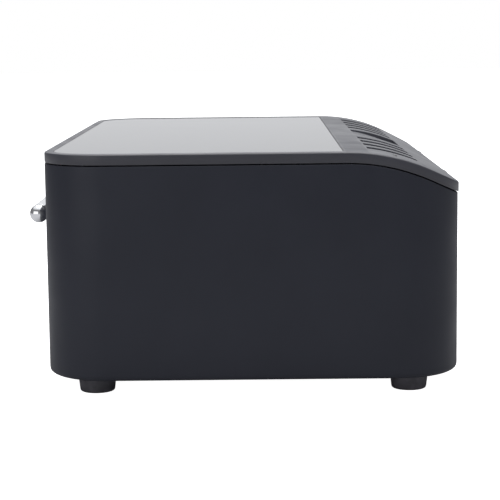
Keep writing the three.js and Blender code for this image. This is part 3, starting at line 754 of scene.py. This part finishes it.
SOFTENED = {
    "rear_bulkhead": ("bulkhead_sheet", 0.3),
    "base_plate": ("base_sheet", 0.4),
    "bed_frame": ("bed_support", 0.5),
    "service_panel": ("rear_panel", 0.35),
    "power_inlet": ("inlet_body", 0.6),
    "power_rocker": ("rocker_cap", 0.7),
    "cooling_fan_frame": ("fan_housing", 0.7),
    "exhaust_fan_motor": ("exhaust_motor", 0.8),
    "y_motor": ("y_motor_case", 0.9),
    "x_motor": ("x_motor_case", 0.9),
    "first_mirror_mount": ("first_mirror_block", 0.7),
    "second_mirror_mount": ("second_mirror_block", 0.7),
    "third_mirror_mount": ("third_mirror_block", 0.6),
    "head_carriage": ("head_plate", 0.6),
}
for side_name, side in SIDES:
    SOFTENED[f"tube_clamp_{side_name}"] = (f"tube_holder_{side_name}", 1.0)
    SOFTENED[f"y_rail_{side_name}"] = (f"rail_{side_name}", 0.5)
    SOFTENED[f"gantry_carriage_{side_name}"] = (f"carriage_{side_name}", 0.8)

for node, (piece_name, width) in SOFTENED.items():
    stand_in(piece_name, softened(node, width), node)


# ---- more mesh helpers ----
SCREWS = {"chassis": [], "door": [], "laser_head": []}


def add_screw(body, axis, place, r, tall):
    """Pan-head screw with a socket; place is the centre of its seat, axis points outwards."""
    profile = [(r, 0), (r, tall * 0.6), (r * 0.9, tall * 0.88), (r * 0.7, tall), (r * 0.48, tall),
               (r * 0.45, tall * 0.35)]
    SCREWS[body].append(turned(profile, axis, place, 18))


def soft_block(x0, x1, y0, y1, z0, z1, width, segments=2):
    return bevelled(block(x0, x1, y0, y1, z0, z1), width, segments)


def bar(outline, x0, x1):
    """Solid of constant section along X; the outline is a list of (y, z)."""
    count = len(outline)
    points = [(x, y, z) for x in (x0, x1) for y, z in outline]
    faces = [tuple(range(count)), tuple(reversed(range(count, 2 * count)))]
    return as_mesh("bar", points, faces + strip(0, count, count))


# ---- belts with teeth ----
BELT_PITCH, TOOTH_H, BELT_T = 3.0, 0.55, 0.75


def belt_mesh(node, along):
    """Toothed loop round two equal wheels; along is the axis index the belt runs in."""
    low, high = node_box(node)
    across = 1 - along
    r_out = (high.z - low.z) / 2
    mid_z = (high.z + low.z) / 2
    a, b = low[along] + r_out, high[along] - r_out
    r_in = r_out - BELT_T - TOOTH_H + 0.1
    straight, arc = b - a, math.pi * r_in
    half = straight + arc
    teeth = round(2 * half / BELT_PITCH)

    def at(distance, r):
        if distance >= half:
            u, z = at(distance - half, r)
            return a + b - u, 2 * mid_z - z
        if distance < straight:
            return a + distance, mid_z - r
        turn = (distance - straight) / r_in - math.pi / 2
        return b + r * math.cos(turn), mid_z + r * math.sin(turn)

    points = []
    steps = 4 * teeth
    for i in range(steps):
        distance = 2 * half * i / steps
        inner = r_in if i % 4 in (0, 1) else r_in + TOOTH_H
        for r in (inner, r_out):
            u, z = at(distance, r)
            for w in (low[across], high[across]):
                points.append((u, w, z) if along == 0 else (w, u, z))
    faces = []
    for i in range(steps):
        p, q = 4 * i, 4 * ((i + 1) % steps)
        faces += [(p, q, q + 1, p + 1), (p + 2, p + 3, q + 3, q + 2),
                  (p, p + 2, q + 2, q), (p + 1, q + 1, q + 3, p + 3)]
    return as_mesh("belt", points, faces)


stand_in("gantry_belt", belt_mesh("x_belt", 0), "x_belt", 25)
for side_name, side in SIDES:
    node = f"y_belt_{side_name}"
    stand_in(f"side_belt_{side_name}", belt_mesh(node, 1), node, 25)


# ---- pulleys, idlers and the drive shaft ----
PULLEY_HALF, PULLEY_STEPS = 3.5, 40


def pulley_profile():
    """Belt wheel with two flanges, as (radius, distance along) from end to end."""
    half, r, flange_r, rim = PULLEY_HALF, 7.9, 9.6, 0.5
    return [(flange_r - 0.3, -half), (flange_r, -half + 0.2), (flange_r, -half + rim),
            (r, -half + rim + 0.15), (r, half - rim - 0.15), (flange_r, half - rim),
            (flange_r, half - 0.2), (flange_r - 0.3, half)]


def idler_mesh(node, axis):
    hub, bore, face, edge = 5.2, 3.0, PULLEY_HALF - 0.5, PULLEY_HALF
    loop = pulley_profile() + [(hub, edge), (hub - 0.3, face), (bore, face),
                               (bore, -face), (hub - 0.3, -face), (hub, -edge)]
    return turned(loop, axis, centre_of(node), PULLEY_STEPS, ring=True)


def x_pulley_mesh():
    low, high = node_box("x_drive_pulley")
    middle = centre_of("x_drive_pulley")
    middle.y = low.y + PULLEY_HALF
    shaft_r = 2.5
    shaft = rounded_profile(shaft_r, PULLEY_HALF, high.y - middle.y, 0.3)
    return merged([turned(pulley_profile(), Y_AXIS, middle, PULLEY_STEPS),
                   turned(shaft, Y_AXIS, middle, 24)])


def shaft_mesh():
    middle = centre_of("y_drive_shaft")
    reach = node_box("y_drive_shaft")[1].x
    shaft_r = 4.0
    parts = [turned(rounded_profile(shaft_r, -reach, reach, 0.5), X_AXIS, middle, 32)]
    for side_name in ("left", "right"):
        belt_x = centre_of(f"y_belt_{side_name}").x
        parts.append(turned(pulley_profile(), X_AXIS, (belt_x, middle.y, middle.z),
                            PULLEY_STEPS))
    return merged(parts)


for side_name, side in SIDES:
    node = f"y_idler_{side_name}"
    stand_in(f"belt_idler_{side_name}", idler_mesh(node, X_AXIS), node)
stand_in("gantry_idler", idler_mesh("x_idler", Y_AXIS), "x_idler")
stand_in("gantry_pulley", x_pulley_mesh(), "x_drive_pulley")
stand_in("cross_shaft", shaft_mesh(), "y_drive_shaft")


# ---- gantry beam: slotted extrusion ----
def slotted_side(reach, half):
    """One side of the section, with its T-slot: (position along the side, height)."""
    return [(-half, reach - 0.8), (-half + 0.8, reach), (-3, reach), (-3, reach - 2),
            (-5.2, reach - 2), (-2.4, reach - 5.5), (2.4, reach - 5.5), (5.2, reach - 2),
            (3, reach - 2), (3, reach), (half - 0.8, reach), (half, reach - 0.8)]


def beam_mesh():
    low, high = node_box("gantry_beam")
    depth, stud_r = 24.0, 2.5
    half_y, half_z = depth / 2, (high.z - low.z) / 2
    mid_y, mid_z = low.y + half_y, (low.z + high.z) / 2
    outline = []
    for turn in range(4):
        reach, half = (half_z, half_y) if turn % 2 == 0 else (half_y, half_z)
        for u, v in slotted_side(reach, half):
            y, z = ((u, v), (v, -u), (-u, -v), (-v, u))[turn]
            outline.append((mid_y + y, mid_z + z))
    idler = centre_of("x_idler")
    stud = turned(rounded_profile(stud_r, 0, high.y - mid_y - half_y, 0.4), Y_AXIS,
                  (idler.x, mid_y + half_y, idler.z), 24)
    return merged([bar(outline, low.x, high.x), stud])


stand_in("slotted_beam", beam_mesh(), "gantry_beam", 25)


# ---- honeycomb bed ----
CELL_PITCH, CELL_WALL = 12.0, 0.45


def honeycomb_mesh():
    low, high = node_box("honeycomb_bed")
    outer_r = CELL_PITCH / math.sqrt(3)
    inner_r = outer_r - CELL_WALL
    row_step = 1.5 * outer_r
    margin = 5.0
    rows = int((high.y - low.y - 2 * margin) / row_step)
    columns = int((high.x - low.x - 2 * margin) / CELL_PITCH) - 1
    y_first = (low.y + high.y - (rows - 1) * row_step) / 2
    x_first = -((columns - 0.5) * CELL_PITCH) / 2
    cells = {}
    for j in range(rows):
        for i in range(columns):
            x = x_first + CELL_PITCH * (i + 0.5 * (j % 2))
            cells[(2 * i + j % 2, j)] = (x, y_first + j * row_step)
    beside = [(1, 1), (-1, 1), (-2, 0), (-1, -1), (1, -1), (2, 0)]
    points, faces = [], []
    for (i, j), (x, y) in cells.items():
        base = len(points)
        for r, z in ((outer_r, high.z), (inner_r, high.z), (inner_r, low.z), (outer_r, low.z)):
            for k in range(6):
                a = math.pi / 6 + k * math.pi / 3
                points.append((x + r * math.cos(a), y + r * math.sin(a), z))
        for row in range(3):
            faces += strip(base + 6 * row, base + 6 * row + 6, 6)
        for (step_i, step_j), face in zip(beside, strip(base + 18, base, 6)):
            if (i + step_i, j + step_j) not in cells:
                faces.append(face)
    rim_w = 7.0
    rims = [soft_block(x0, x1, y0, y1, low.z, high.z, 0.4)
            for x0, x1, y0, y1 in ((low.x, high.x, low.y, low.y + rim_w),
                                   (low.x, high.x, high.y - rim_w, high.y),
                                   (low.x, low.x + rim_w, low.y, high.y),
                                   (high.x - rim_w, high.x, low.y, high.y))]
    return merged([as_mesh("cells", points, faces)] + rims)


stand_in("honeycomb_panel", honeycomb_mesh(), "honeycomb_bed", 20)


# ---- fans ----
BLADES, BLADE_ROWS, BLADE_T, BLADE_CAMBER = 7, 7, 1.1, 2.2


def blade_mesh(centre, hub_r, tip_r, depth, start, sweep):
    """One blade: a grid of rows from hub to tip on both faces, closed along its rim."""
    n = BLADE_ROWS
    chord_deg = 300 / BLADES
    points, faces = [], []
    for lift in (-BLADE_T / 2, BLADE_T / 2):
        for i in range(n):
            t = i / (n - 1)
            r = hub_r - 1 + (tip_r - hub_r + 1) * t
            for j in range(n):
                u = j / (n - 1)
                a = math.radians(start + sweep * t * t + chord_deg * (u - 0.5))
                rise = depth * 0.8 * (u - 0.5) * (1 - 0.35 * t)
                camber = BLADE_CAMBER * (1 - (2 * u - 1) ** 2)
                points.append((centre.x + r * math.cos(a), centre.y + rise + camber + lift - 1,
                               centre.z + r * math.sin(a)))
    layer = n * n
    for i in range(n - 1):
        for j in range(n - 1):
            p = i * n + j
            faces.append((p, p + 1, p + n + 1, p + n))
            faces.append((layer + p, layer + p + n, layer + p + n + 1, layer + p + 1))
    rim = list(range(n)) + [i * n + n - 1 for i in range(1, n)]
    rim += [(n - 1) * n + j for j in range(n - 2, -1, -1)] + [i * n for i in range(n - 2, 0, -1)]
    for p, q in zip(rim, rim[1:] + rim[:1]):
        faces.append((p, q, layer + q, layer + p))
    return as_mesh("blade", points, faces)


def rotor_mesh(node, hub_r, sweep):
    """Hub with twisted, cambered blades; spins about Y."""
    low, high = node_box(node)
    depth = high.y - low.y
    middle, tip_r = centre_of(node), half_width(node)
    hub = turned(rounded_profile(hub_r, -depth / 2, depth / 2, 1.6), Y_AXIS, middle, 40)
    return merged([hub] + [blade_mesh(middle, hub_r, tip_r, depth, 360 * i / BLADES, sweep)
                           for i in range(BLADES)])


stand_in("exhaust_rotor_wheel", rotor_mesh("exhaust_impeller", 14, 22), "exhaust_impeller", 40)
stand_in("cooling_rotor_wheel", rotor_mesh("cooling_fan_rotor", 13, 26), "cooling_fan_rotor", 40)


# ---- exhaust duct with a ribbed collar ----
def duct_mesh():
    low, high = node_box("exhaust_duct")
    middle, flange_r = centre_of("exhaust_duct"), half_width("exhaust_duct")
    wall, flange_w, flange_t, rib_pitch = 2.0, 10.0, 2.7, 6.5
    outer = flange_r - flange_w
    inner = outer - wall
    flange_y = BODY_REAR + 0.3
    profile = [(inner, low.y), (outer, low.y), (outer, flange_y), (flange_r - 0.6, flange_y),
               (flange_r, flange_y + 0.6), (flange_r, flange_y + flange_t - 0.6),
               (flange_r - 0.6, flange_y + flange_t), (outer + 1, flange_y + flange_t),
               (outer, flange_y + flange_t + 1)]
    rib = flange_y + 10
    while rib < high.y - 6:
        profile += [(outer, rib), (outer + 0.9, rib + 0.5), (outer + 0.9, rib + 1.6),
                    (outer, rib + 2.1)]
        rib += rib_pitch
    profile += [(outer, high.y - 1), (outer - 0.6, high.y), (inner + 0.5, high.y),
                (inner, high.y - 0.6)]
    return turned(profile, Y_AXIS, (middle.x, 0, middle.z), 72, ring=True)


stand_in("exhaust_collar", duct_mesh(), "exhaust_duct")


# ---- hinges ----
HINGE_R, PIN_R, BORE_R = 4.5, 1.9, 2.3
HINGE_HALF, LEAF_HALF, KNUCKLE_GAP = 30.0, 14.8, 0.6
PLATE_T = 2.0


def hinge_place(kind, side_name):
    """Hinge line and plate of one hinge: (x, y, z of the pin, plate y range)."""
    low, high = node_box(f"{kind}_leaf_{side_name}")
    x, z = (low.x + high.x) / 2, low.z + HINGE_R
    if kind == "lid_hinge":
        return x, high.y - HINGE_R, z, (low.y, low.y + PLATE_T)
    return x, low.y + HINGE_R, z, (high.y - PLATE_T, high.y)


def fixed_leaf(kind, side_name):
    """Strap, two knuckles and the pin."""
    x, y, z, (p0, p1) = hinge_place(kind, side_name)
    bottom = node_box(f"{kind}_base_{side_name}")[0].z
    strap_h = 20 if kind == "lid_hinge" else 12
    parts = [soft_block(x - HINGE_HALF, x + HINGE_HALF, p0, p1, bottom, bottom + strap_h, 0.5)]
    for side in (-1, 1):
        a, b = sorted((x + side * (LEAF_HALF + KNUCKLE_GAP), x + side * HINGE_HALF))
        knuckle = rounded_profile(HINGE_R, a - x, b - x, 0.4)
        parts.append(soft_block(a, b, p0, p1, bottom + 1, z, 0.3))
        parts.append(turned(knuckle, X_AXIS, (x, y, z), 32))
    pin = [(PIN_R, -HINGE_HALF + 1), (PIN_R, HINGE_HALF - 1)]
    return merged(parts + [turned(pin, X_AXIS, (x, y, z), 24)])


def moving_leaf(kind, side_name):
    """Plate and one knuckle with its bore."""
    x, y, z, (p0, p1) = hinge_place(kind, side_name)
    top = node_box(f"{kind}_leaf_{side_name}")[1].z
    half, edge = LEAF_HALF, 0.4
    knuckle = [(BORE_R, -half), (HINGE_R - edge, -half), (HINGE_R, -half + edge),
               (HINGE_R, half - edge), (HINGE_R - edge, half), (BORE_R, half)]
    return merged([turned(knuckle, X_AXIS, (x, y, z), 32, ring=True),
                   soft_block(x - half, x + half, p0, p1, z + BORE_R, top, 0.4)])


for kind, out, strap_mid in (("lid_hinge", 1, 9), ("door_hinge", -1, 6)):
    for side_name, side in SIDES:
        base, leaf = f"{kind}_base_{side_name}", f"{kind}_leaf_{side_name}"
        stand_in(f"{kind}_fixed_{side_name}", fixed_leaf(kind, side_name), base)
        stand_in(f"{kind}_moving_{side_name}", moving_leaf(kind, side_name), leaf)
        x, y, z, plate = hinge_place(kind, side_name)
        seat = plate[1] if out > 0 else plate[0]
        screw_z = node_box(base)[0].z + strap_mid
        for shift in (-21, 0, 21):
            add_screw("chassis", (0, out, 0), (x + shift, seat, screw_z), 2.4, 1.2)
        if kind == "door_hinge":
            screw_z = node_box(leaf)[1].z - 5
            for shift in (-8, 8):
                add_screw("door", (0, out, 0), (x + shift, seat, screw_z), 2.4, 1.2)


# ---- rear panel: inlet pins, key barrel, screws ----
INLET = centre_of("power_inlet")
DUCT = centre_of("exhaust_duct")


def inlet_pins():
    back, length, half_w, half_h = BODY_REAR - 15.0, 13, 1, 2.5
    pins = []
    for u, v in ((-7, -2), (0, 2), (7, -2)):
        x, z = INLET.x + u, INLET.z + v
        pins.append(soft_block(x - half_w, x + half_w, back, back + length,
                               z - half_h, z + half_h, 0.4))
    return merged(pins)


def key_mesh():
    low, high = node_box("key_barrel")
    middle, rim_r = centre_of("key_barrel"), half_width("key_barrel")
    x, z = middle.x, middle.z
    r, reach = 6.0, high.y - low.y
    profile = [(r - 0.5, 0), (r, 0.5), (r, reach - 3), (rim_r, reach - 3), (rim_r, reach - 1),
               (rim_r - 0.4, reach - 0.4), (rim_r - 1.2, reach), (r - 0.8, reach),
               (r - 1.2, reach - 0.5)]
    slot = block(x - 0.8, x + 0.8, high.y - 9, high.y + 2, z - 4, z + 4)
    return combined(turned(profile, Y_AXIS, (x, low.y, z), 48), [slot], "DIFFERENCE")


add_piece("inlet_pins", inlet_pins(), "chassis", "steel")
stand_in("key_core", key_mesh(), "key_barrel")

panel_low, panel_high = node_box("service_panel")
for x in (panel_low.x + 6, panel_high.x - 6):
    for z in (panel_low.z + 6, panel_high.z - 6):
        add_screw("chassis", Y_AXIS, (x, panel_high.y, z), 2.6, 1.3)
for side in (-1, 1):
    seat = (INLET.x + side * 17.4, node_box("power_inlet")[1].y, INLET.z)
    add_screw("chassis", Y_AXIS, seat, 1.8, 0.9)
flange_screws, screw_circle_r = 6, 56
for i in range(flange_screws):
    a = math.pi * (2 * i + 1) / flange_screws
    seat = (DUCT.x + screw_circle_r * math.cos(a), BODY_REAR + 3.0,
            DUCT.z + screw_circle_r * math.sin(a))
    add_screw("chassis", Y_AXIS, seat, 2.4, 1.2)


# ---- start button and status light ----
def button_mesh():
    low, high = node_box("start_button")
    middle, flange_r = centre_of("start_button"), half_width("start_button")
    r, reach = 8.0, high.y - low.y
    profile = [(flange_r, 0), (flange_r, 2.5), (r, 2.5), (r, reach - 1.6), (r - 0.3, reach - 0.9),
               (r - 0.9, reach - 0.3), (r - 1.6, reach), (r - 2.2, reach), (r - 2.8, reach - 0.5),
               (r - 5, reach - 0.9), (0.4, reach - 1.0)]
    return turned(profile, (0, -1, 0), (middle.x, high.y, middle.z), 56)


def led_mesh():
    low, high = node_box("status_led")
    middle, flange_r = centre_of("status_led"), half_width("status_led")
    r, dome, reach = 2.0, 1.0, high.z - low.z
    profile = [(flange_r, 0), (flange_r, 3.4), (r, 3.4)]
    profile += [(max(r * c, 0.05), reach - dome + dome * s) for s, c in quarter_arc(4)]
    return turned(profile, Z_AXIS, (middle.x, middle.y, low.z), 32)


stand_in("button_cap", button_mesh(), "start_button")
stand_in("led_dot", led_mesh(), "status_led", look="led_lens")


# ---- laser tube ----
TUBE = centre_of("laser_tube")
TUBE_HALF = node_box("laser_tube")[1].x
NECK_R, SHOULDER = 12.0, TUBE_HALF - 30


def tube_shell():
    low, high = node_box("laser_tube")
    r = (high.z - low.z) / 2
    side = [(NECK_R - 0.4, TUBE_HALF), (NECK_R, TUBE_HALF - 0.4), (NECK_R, SHOULDER + 6)]
    side += [(NECK_R + 2 + (r - NECK_R - 2) * s, SHOULDER + 2 - 8 * (1 - c))
             for s, c in quarter_arc(6)]
    profile = [(radius, -along) for radius, along in side] + list(reversed(side))
    return turned(profile, X_AXIS, TUBE, 64)


def tube_bore():
    """The narrow discharge tube inside its water jacket."""
    half, outer, inner = SHOULDER - 40, 15, 13.8
    jacket = [(outer, -half), (outer, half), (inner, half), (inner, -half)]
    bore = rounded_profile(5.5, -SHOULDER + 20, SHOULDER - 20, 0.8)
    return merged([turned(bore, X_AXIS, TUBE, 32), turned(jacket, X_AXIS, TUBE, 40, ring=True)])


def tube_electrodes():
    half = 8
    places = [side * (SHOULDER - 26) for side in (-1, 1)]
    return merged([turned(rounded_profile(16, x - half, x + half, 1.2), X_AXIS, TUBE, 48)
                   for x in places])


stand_in("tube_shell", tube_shell(), "laser_tube")
add_piece("tube_bore", tube_bore(), "chassis", "tube_glass")
add_piece("tube_electrodes", tube_electrodes(), "chassis", "steel")


# ---- power supply, board and tank ----
def supply_mesh():
    """Case with a raised cover; rows of slots in the cover and in the rear side."""
    low, high = node_box("power_supply")
    slot_w, slot_depth = 2.4, 1.2
    case_top = high.z - 2
    x0, x1, y0, y1 = low.x + 12, high.x - 12, low.y + 7, high.y - 8
    top_slots = [block(x, x + slot_w, y0 + 8, y1 - 8, high.z - slot_depth, high.z + 1)
                 for x in [x0 + 8 + 6 * i for i in range(17)]]
    rear_slots = [block(x, x + slot_w, high.y - slot_depth, high.y + 1, low.z + 12, case_top - 12)
                  for x in [low.x + 20 + 7 * i for i in range(14)]]
    cover = soft_block(x0, x1, y0, y1, case_top - 2, high.z, 0.8)
    case = soft_block(low.x, high.x, low.y, high.y, low.z, case_top, 0.8)
    return merged([combined(cover, top_slots, "DIFFERENCE"),
                   combined(case, rear_slots, "DIFFERENCE")])


BOARD_LOW, BOARD_HIGH = node_box("control_board")
BOARD_TOP = BOARD_LOW.z + 12.0
BOARD_CORNERS = [(x, y) for x in (BOARD_LOW.x + 5, BOARD_HIGH.x - 5)
                 for y in (BOARD_LOW.y + 5, BOARD_HIGH.y - 5)]
# x0, x1, y0, y1, height
PLAIN_CHIPS = [(115, 130, 150, 165, 6), (85, 130, 122, 136, 12), (140, 165, 165, 185, 7)]
COOLED_CHIPS = [(85, 105, 150, 170, 9), (140, 168, 125, 150, 14)]


def board_mesh():
    low, high = BOARD_LOW, BOARD_HIGH
    parts = [soft_block(low.x, high.x, low.y, high.y, BOARD_TOP - 2, BOARD_TOP, 0.3, 1)]
    for x, y in BOARD_CORNERS:
        parts.append(turned(rounded_profile(3, 0, 10.2, 0.3), Z_AXIS, (x, y, low.z), 6))
    for x in (84, 92, 100, 108):
        parts.append(soft_block(x, x + 5, 142, 146, BOARD_TOP, BOARD_TOP + 1.2, 0.2, 1))
    return merged(parts)


def chips_mesh():
    base_h = 3
    chips = [soft_block(x0, x1, y0, y1, BOARD_TOP, BOARD_TOP + h, 0.6)
             for x0, x1, y0, y1, h in PLAIN_CHIPS]
    chips += [soft_block(x0 + 1, x1 - 1, y0 + 1, y1 - 1, BOARD_TOP, BOARD_TOP + base_h, 0.3)
              for x0, x1, y0, y1, h in COOLED_CHIPS]
    return merged(chips)


def coolers_mesh():
    """Fins on the two hot chips and three capacitor cans."""
    fins, fin_t, base_h = 7, 1.4, 3
    parts = []
    for x0, x1, y0, y1, h in COOLED_CHIPS:
        step = (x1 - x0 - 4) / (fins - 1)
        parts += [soft_block(x, x + fin_t, y0 + 1, y1 - 1, BOARD_TOP + base_h, BOARD_TOP + h, 0.2, 1)
                  for x in [x0 + 2 + i * step for i in range(fins)]]
    can = rounded_profile(3.4, 0, 8.5, 0.5)
    parts += [turned(can, Z_AXIS, (x, 178, BOARD_TOP), 24) for x in (112, 121, 130)]
    return merged(parts)


CAP_R, CAP_H = 16, 8


def tank_mesh():
    low, high = node_box("water_tank")
    parts = [soft_block(low.x, high.x, low.y, high.y, low.z, high.z - CAP_H, 6, 4)]
    for z in (low.z + 24, low.z + 54):
        parts.append(soft_block(low.x, high.x, low.y, high.y, z, z + 3, 1.2))
    return merged(parts)


def cap_mesh():
    """Screw cap with grip ribs: every third step of its rim is drawn in."""
    middle = centre_of("water_tank")
    bottom = node_box("water_tank")[1].z - CAP_H
    steps, rib = 72, 0.7
    rows = [(CAP_R, 0, rib), (CAP_R, 6.6, rib), (CAP_R - 1.2, CAP_H, 0)]
    points, faces = [], []
    for r, along, depth in rows:
        for i in range(steps):
            a = 2 * math.pi * i / steps
            reach = r - (depth if i % 3 == 0 else 0)
            points.append((middle.x + reach * math.cos(a), middle.y + reach * math.sin(a),
                           bottom + along))
    last = (len(rows) - 1) * steps
    for base in range(0, last, steps):
        faces += strip(base, base + steps, steps)
    faces.append(tuple(reversed(range(steps))))
    faces.append(tuple(last + i for i in range(steps)))
    return as_mesh("cap", points, faces)


stand_in("supply_case", supply_mesh(), "power_supply")
stand_in("driver_board", board_mesh(), "control_board")
add_piece("board_chips", chips_mesh(), "chassis", "black_plastic")
add_piece("board_coolers", coolers_mesh(), "chassis", "aluminium")
stand_in("tank_body", tank_mesh(), "water_tank")
add_piece("tank_cap", cap_mesh(), "chassis", "red_plastic")


# ---- lens tube and mirror knobs ----
HEAD_X = centre_of("third_mirror_mount").x
HEAD_Y = centre_of("lens_tube").y


def lens_mesh():
    """Nozzle, cone and a barrel with grip grooves."""
    low, high = node_box("lens_tube")
    middle, r = centre_of("lens_tube"), half_width("lens_tube")
    nozzle, shoulder = low.z, low.z + 16
    groove_depth, groove_pitch = 0.5, 2.0
    profile = [(1.2, nozzle + 2), (1.6, nozzle + 0.3), (2.2, nozzle), (4.6, nozzle),
               (5, nozzle + 0.4), (r - 1.2, shoulder - 2), (r - 0.2, shoulder - 0.6),
               (r, shoulder), (r, shoulder + 3)]
    z = shoulder + 3.5
    while z < shoulder + 16:
        profile += [(r - groove_depth, z), (r - groove_depth, z + 0.5), (r, z + 1.0), (r, z + 1.5)]
        z += groove_pitch
    profile += [(r, high.z - 0.5), (r - 0.5, high.z)]
    return turned(profile, Z_AXIS, (middle.x, middle.y, 0), 56)


def knobs(axis, places):
    profile = [(3.2, 0), (3.2, 0.6), (2.2, 0.9), (2.2, 1.6), (3.4, 2.0), (3.6, 2.4), (3.6, 4.6),
               (3.2, 5.0)]
    return merged([turned(profile, axis, place, 24) for place in places])


slanted = (-math.sqrt(0.5), 0, math.sqrt(0.5))
head_places = [(HEAD_X - 7, HEAD_Y - 5, 180), (HEAD_X - 7, HEAD_Y + 2, 180),
               (HEAD_X - 1, HEAD_Y - 2, 186)]
first_x = node_box("first_mirror_mount")[0].x
first_places = [(first_x, TUBE.y + u, TUBE.z + v) for u, v in ((-9, 11), (9, 11), (-9, -10))]
stand_in("lens_barrel", lens_mesh(), "lens_tube")
add_piece("head_knobs", knobs(slanted, head_places), "laser_head", "brass")
add_piece("mirror_knobs", knobs((-1, 0, 0), first_places), "chassis", "brass")


# ---- screws, one piece per body ----
for side_name, side in SIDES:
    for i in range(7):
        add_screw("chassis", (side, 0, 0), (side * 290, -170 + 42 * i, 112), 2.6, 1.4)
    clamp = f"tube_clamp_{side_name}"
    clamp_low, clamp_high = node_box(clamp)
    for z in (clamp_low.z + 4, clamp_high.z - 4):
        add_screw("chassis", Y_AXIS, (centre_of(clamp).x, clamp_high.y, z), 2.4, 1.4)
fan_low, fan_high = node_box("cooling_fan_frame")
for x in (fan_low.x + 5, fan_high.x - 5):
    for z in (fan_low.z + 5, fan_high.z - 5):
        add_screw("chassis", (0, -1, 0), (x, fan_low.y, z), 2.6, 1.4)
for x, y in BOARD_CORNERS:
    add_screw("chassis", Z_AXIS, (x, y, BOARD_TOP), 2.4, 1.3)
plate_low, plate_high = node_box("head_carriage")
for x in (HEAD_X - 19, HEAD_X + 19):
    for z in (plate_high.z - 5, plate_high.z - 42):
        add_screw("laser_head", (0, -1, 0), (x, plate_low.y + 21, z), 2.4, 1.3)

for body, screws in SCREWS.items():
    add_piece(f"screws_{body}", merged(screws), body, "steel")
